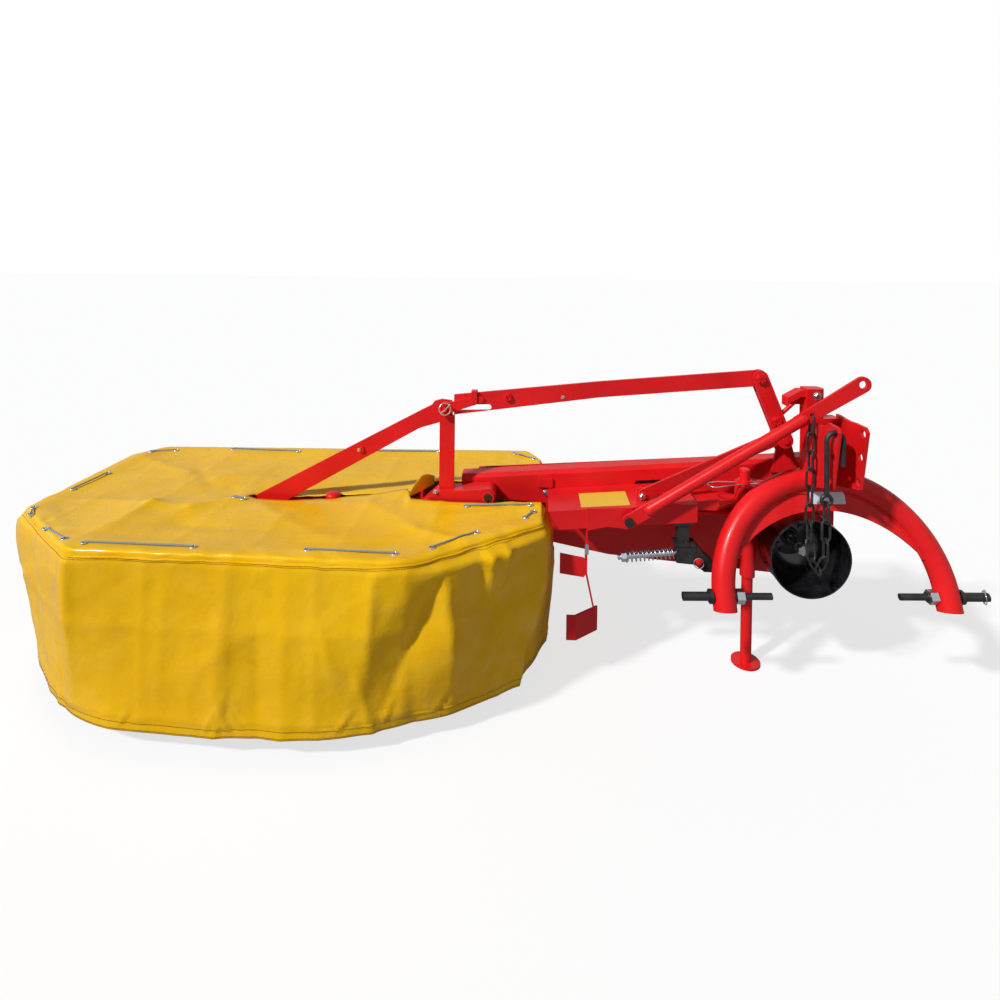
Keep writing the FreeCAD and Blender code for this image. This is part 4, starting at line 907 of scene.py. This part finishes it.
# ---- fittings ----
BOW_LEAN, BOW_R, BOW_TUBE_R, WEB_HALF = math.radians(20), 0.375, 0.038, 0.004
WELD_R, WELD_RIPPLE = 0.0048, 0.0011
ACROSS_ARM = -ARM_Y                # the way that the arm's tractor side faces
TO_TRACTOR = Vector((0, -1, 0))
UPWARD = Vector((0, 0, 1))
LEANING = Vector((0, -math.cos(BOW_LEAN), math.sin(BOW_LEAN)))
LINK_PLATE_BOLT = (-0.025, 0.098, 1.0375)          # in the machine's frame
# Places in the arm's frame.
STRUT_BOLT, HOUSING_BOLT = (-0.6118, 0.1246, 0.662), (-0.95, 0.2815, 0.604)
HINGE_END = (-1.167, 0.1926, joint("unit_lift")["pos_m"][2])
LATCH_PIN, LATCH_RING = (-0.427, 0.0668, 0.467), (-0.427, 0.06, 0.4615)
LATCH_PLATE = (-0.8085, 0.0797, 0.487)
STICKER_MID, SLOT_MID = (-0.7435, 0.159, 0.635), (-0.557, 0.3018, 0.6489)
SHAFT_X, CUP_FLOOR, SHAFT_Z = -0.033, 0.2856, joint("pto_spin")["pos_m"][2]
POST_BOLT, POST_RING = (-1.366, 0.204, 0.6215), (-1.3315, 0.1955, 0.9385)
POST_WIRE = ((-1.345, 0.192, 0.925), (-1.331, 0.19, 0.936), (-1.312, 0.192, 0.958))
BRACE_RIVET, BAR_RIVET = (-1.668, 0.2388, 0.762), (-0.8928, 0.2158, 0.9891)
RIVET = [(0, 0.007), (0.002, 0.007), (0.003, 0.004)]
BEAM_TOP, CAP_WALL, CAP_RISE = 0.557, 0.022, 0.013


def pieces(body, *rows):
    """One piece per row of shapes, name and material; a fourth entry False leaves it unsmoothed."""
    return [shapes.build(name, mat, body, *smooth) for shapes, name, mat, *smooth in rows]


def hex_head(shapes, at, axis, across, height):
    """Hexagon head with a chamfered top on a thin washer."""
    axis = axis.normalized()
    r = across / math.sqrt(3)
    washer, thick = across * 0.78, 0.0018
    shapes.lathe(at, axis, [(0, washer), (thick * 0.8, washer), (thick, washer * 0.96)], 24)
    shapes.lathe(at + axis * thick, axis, [(0, r), (height * 0.85, r), (height, r * 0.88)], 6)


def plate(shapes, middle, right, up, width, height, thick, corner):
    """Thin plate with rounded corners, standing out from middle."""
    right, up = right.normalized(), up.normalized()
    out = right.cross(up)
    ring = []
    for sx, sy, start in ((1, 1, 0), (-1, 1, 90), (-1, -1, 180), (1, -1, 270)):
        for k in range(5):
            w = math.radians(start + 22.5 * k)
            ring.append((sx * (width / 2 - corner) + corner * math.cos(w),
                         sy * (height / 2 - corner) + corner * math.sin(w)))
    n = len(ring)
    verts = [middle + right * x + up * y + out * d for d in (0, thick) for x, y in ring]
    faces = [tuple(reversed(range(n))), tuple(range(n, 2 * n))]
    faces += [(k, (k + 1) % n, n + (k + 1) % n, n + k) for k in range(n)]
    shapes.add(verts, faces)


def web_point(x, z, out):
    """Point on the front face of the web, which leans back with the bow."""
    front = (z - PIN_MID.z) * math.tan(BOW_LEAN) - WEB_HALF / math.cos(BOW_LEAN)
    return machine(x, front, z) + LEANING * out


def headstock_fittings():
    bolts, wires, label = Shapes(), Shapes(), Shapes()
    hex_head(bolts, machine(*LINK_PLATE_BOLT), TO_TRACTOR, 0.019, 0.008)
    linch = Vector((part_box("lower_pin_left")[1].x - 0.012, PIN_MID.y, PIN_MID.z))
    bolts.lathe(linch - UPWARD * 0.021, UPWARD, [(0, 0.0032), (0.044, 0.0032), (0.047, 0.0015)], 12)
    wires.torus(linch - UPWARD * 0.002, (1, -0.4, 0.1), 0.021, 0.0014, 32, 8)
    right = Vector((1, 0, 0))
    plate(label, web_point(0.022, 0.6805, 0.0003), right, LEANING.cross(right), 0.122, 0.04, 0.0004, 0.003)
    king_clip(wires)
    return pieces("headstock", (bolts, "headstock_bolts", ZINC), (wires, "headstock_clips", ZINC),
                  (label, "web_label", LABEL_FILM_PAINTED_SHADE, False), (bow_welds(), "bow_welds", RED))


def bow_welds():
    """Weld beads between tube and web, in front, left and right of the link plates."""
    beads, steps = Shapes(), 150
    reach = BOW_R - math.sqrt(BOW_TUBE_R ** 2 - WEB_HALF ** 2)
    for start, end in ((20, 76), (104, 160)):
        line = []
        for k in range(steps + 1):
            w = math.radians(start + (end - start) * k / steps)
            r = reach + WELD_RIPPLE * math.sin(2.3 * k)
            line.append(web_point(r * math.cos(w), PIN_MID.z + r * math.sin(w) * math.cos(BOW_LEAN), 0.0006))
        beads.tube(line, WELD_R, 8)
    return beads


def king_clip(wires):
    """Spring clip through the head of the kingpin: one straight leg, one that bows round the pin."""
    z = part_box("kingpin")[1].z - 0.05
    x, y = KING.x, KING.y
    pts = [(0.075, 0.004, 0.004), (0.02, 0.001, 0.002), (-0.06, 0.004, 0.0), (-0.1, 0.006, 0.0)]
    for k in range(9):
        w = math.radians(90 + 180 * k / 8)
        pts.append((-0.118 + 0.022 * math.cos(w), -0.018 + 0.024 * math.sin(w), -0.003))
    pts += [(-0.095, -0.04, -0.001), (-0.055, -0.03, 0.0), (-0.02, -0.0235, 0.001), (0.0, -0.021, 0.002),
            (0.02, -0.0225, 0.004), (0.04, -0.03, 0.006), (0.07, -0.027, 0.009)]
    wires.tube([Vector((x + a, y + b, z + c)) for a, b, c in smooth_path(pts)], 0.0021, 8)


def smooth_path(points):
    """Catmull-Rom curve through the points."""
    pts, steps, out = [Vector(p) for p in points], 6, []
    pts = [pts[0]] + pts + [pts[-1]]
    for a, b, c, d in zip(pts, pts[1:], pts[2:], pts[3:]):
        for k in range(steps):
            t = k / steps
            out.append(0.5 * (2 * b + (c - a) * t + (2 * a - 5 * b + 4 * c - d) * t * t
                              + (3 * b - a - 3 * c + d) * t ** 3))
    return out + [pts[-1]]


def arm_fittings():
    bolts, wires, sticker, caps, red = (Shapes() for _ in range(5))
    hex_head(bolts, arm(*STRUT_BOLT), ARM_X * 0.23 - ARM_Y * 0.97, 0.018, 0.007)
    hex_head(bolts, arm(*HOUSING_BOLT), ACROSS_ARM, 0.015, 0.006)
    caps.lathe(arm(*HINGE_END), ACROSS_ARM, [(0, 0.0155), (0.002, 0.0155), (0.003, 0.013)], 24)
    red.lathe(arm(*LATCH_PIN), ACROSS_ARM, [(0, 0.011), (0.011, 0.011), (0.013, 0.008)], 20)
    wires.torus(arm(*LATCH_RING), ACROSS_ARM + UPWARD * 0.15, 0.0165, 0.0014, 28, 8)
    plate(bolts, arm(*LATCH_PLATE), ARM_X, UPWARD, 0.013, 0.036, 0.002, 0.002)
    slope = (ARM_X + UPWARD * 0.084).normalized()
    plate(sticker, arm(*STICKER_MID), slope, ARM_Y, 0.172, 0.126, 0.0004, 0.004)
    return pieces("arm", (bolts, "arm_bolts", ZINC), (wires, "latch_ring", ZINC),
                  (sticker, "arm_sticker", STICKER, False), (caps, "hinge_cap", GLOSS),
                  (red, "latch_pin", RED))


def black_fittings():
    """Bolts on the floor of the black cup, the seal round its shaft, and a black plate in the slot for
    painted shade.
    """
    bolts, slot_shade, seal, circle = Shapes(), Shapes(), Shapes(), 0.06
    for k in range(3):
        w = math.radians(120 * k)
        at = arm(SHAFT_X + circle * math.cos(w), CUP_FLOOR, SHAFT_Z + circle * math.sin(w))
        hex_head(bolts, at, ACROSS_ARM, 0.013, 0.006)
    seal.torus(arm(SHAFT_X, CUP_FLOOR, SHAFT_Z), ACROSS_ARM, 0.0265, 0.0078, 40, 12)
    # A thin black plate laid in the slot's pocket: painted shade, standing in for the shade inside the slot.
    plate(slot_shade, arm(*SLOT_MID), ARM_X + UPWARD * 0.083, UPWARD, 0.11, 0.0265, 0.0012, 0.013)
    return pieces("arm", (bolts, "cup_bolts", OXIDE), (slot_shade, "slot_painted_shade", OXIDE, False),
                  (seal, "shaft_seal", OXIDE))


def unit_fittings():
    bolts, wires, dome, gold, rivet = (Shapes() for _ in range(5))
    hex_head(bolts, arm(*POST_BOLT), UPWARD, 0.013, 0.008)
    wires.torus(arm(*POST_RING), ACROSS_ARM + UPWARD * 0.2 + ARM_X * 0.2, 0.0215, 0.0018, 32, 8)
    wires.tube([arm(*p) for p in POST_WIRE], 0.0022, 8)
    profile = [(0, CAP_R), (CAP_WALL, CAP_R)]
    profile += [(CAP_WALL + CAP_RISE * math.sin(w), CAP_R * math.cos(w)) for w in (0.3, 0.6, 0.9, 1.2, 1.45)]
    dome.lathe(cover_point(CAP_X, 0.0, BEAM_TOP), UPWARD, profile, 32)
    gold.lathe(arm(*BRACE_RIVET), ACROSS_ARM, RIVET, 18)
    rivet.lathe(arm(*BAR_RIVET), ACROSS_ARM, RIVET, 18)
    on_unit = pieces("unit", (bolts, "unit_bolts", ZINC), (wires, "post_pin_ring", ZINC),
                     (dome, "beam_cap", RED), (gold, "brace_rivet", GOLD))
    return on_unit + pieces("bar", (rivet, "bar_rivet", GOLD))


def make_fittings():
    for piece in headstock_fittings() + arm_fittings() + black_fittings() + unit_fittings():
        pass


# ---- studio ----
DIM_SKY = {"Color": (0.93, 0.96, 1.0, 1), "Strength": 0.2}    # what lights the object
WHITE_SKY = {"Color": (1, 1, 1, 1), "Strength": 1.0}          # what the camera sees
GLOSSY_SHARE, GLASS_SHARE = 0.45, 1.0                         # of the white, in reflections and through glass
FLOOR_SIZE, FLOOR_GLOW = 40.0, 0.72
FLOOR_DARK, FLOOR_PALE = (0.34, 0.34, 0.34), (0.95, 0.95, 0.95)


def studio():
    scene = bpy.context.scene
    scene.view_settings.view_transform = "Standard"
    scene.world = bpy.data.worlds.new("studio")
    sky = Nodes(scene.world)
    path = sky.node("ShaderNodeLightPath")
    seen = path.outputs["Is Camera Ray"]
    for ray, share in (("Is Glossy Ray", GLOSSY_SHARE), ("Is Transmission Ray", GLASS_SHARE)):
        seen = sky.maths("MAXIMUM", seen, sky.maths("MULTIPLY", path.outputs[ray], share))
    dim, white = (sky.node("ShaderNodeBackground", **look) for look in (DIM_SKY, WHITE_SKY))
    sky.mix_shaders(seen, dim, white, "ShaderNodeOutputWorld")
    sun("key", (-0.74, -0.52, 0.76), 3.65, 4)
    sun("fill", (0.5, -1.0, 0.7), 0.1, 60)


def sun(name, toward, strength, angle):
    data = bpy.data.lights.new(name, "SUN")
    data.energy = strength
    data.angle = math.radians(angle)
    obj = link(bpy.data.objects.new(name, data))
    obj.rotation_euler = Vector(toward).to_track_quat("Z", "Y").to_euler()


def floor():
    corners = [(x * FLOOR_SIZE, y * FLOOR_SIZE, 0) for x, y in ((-1, -1), (1, -1), (1, 1), (-1, 1))]
    obj = mesh_object("floor", corners, [(0, 1, 2, 3)], False)
    look = bpy.data.materials.new("floor_pale")
    nodes = Nodes(look)
    camera_ray = nodes.node("ShaderNodeLightPath").outputs["Is Camera Ray"]
    tone = nodes.mix(camera_ray, FLOOR_DARK, FLOOR_PALE)
    base = nodes.node("ShaderNodeBsdfDiffuse", {"Color": tone})
    glow = nodes.node("ShaderNodeEmission", Color=(1, 1, 1, 1))
    share = nodes.maths("MULTIPLY", camera_ray, FLOOR_GLOW)
    nodes.mix_shaders(share, base, glow, "ShaderNodeOutputMaterial")
    dress(obj, look)


CAMERA_AT = (-1.1596, -2.0072, 1.5117)     # in the machine's frame
PITCH, YAW, TILT = math.radians(1.145), math.radians(-0.785), math.radians(0.641)
SENSOR, LENS, SHIFT_Y = 36.0, 22.08, -0.2316


def camera():
    data = bpy.data.cameras.new("camera")
    data.sensor_width = SENSOR
    data.lens = LENS
    data.shift_y = SHIFT_Y
    data.clip_start, data.clip_end = 0.05, 200
    obj = link(bpy.data.objects.new("camera", data))
    ahead = Vector((-math.sin(YAW) * math.cos(PITCH), math.cos(YAW) * math.cos(PITCH), -math.sin(PITCH)))
    right = Vector((math.cos(YAW), math.sin(YAW), 0))
    up = right.cross(ahead)
    tilted = right * math.cos(TILT) + up * math.sin(TILT)
    up = up * math.cos(TILT) - right * math.sin(TILT)
    turn = Matrix((tilted, up, -ahead)).transposed().to_4x4()
    obj.matrix_world = Matrix.Translation(machine(*CAMERA_AT)) @ turn
    bpy.context.scene.camera = obj


finish_cad_nodes()
make_cover()
make_chain()
make_fittings()
studio()
floor()
camera()
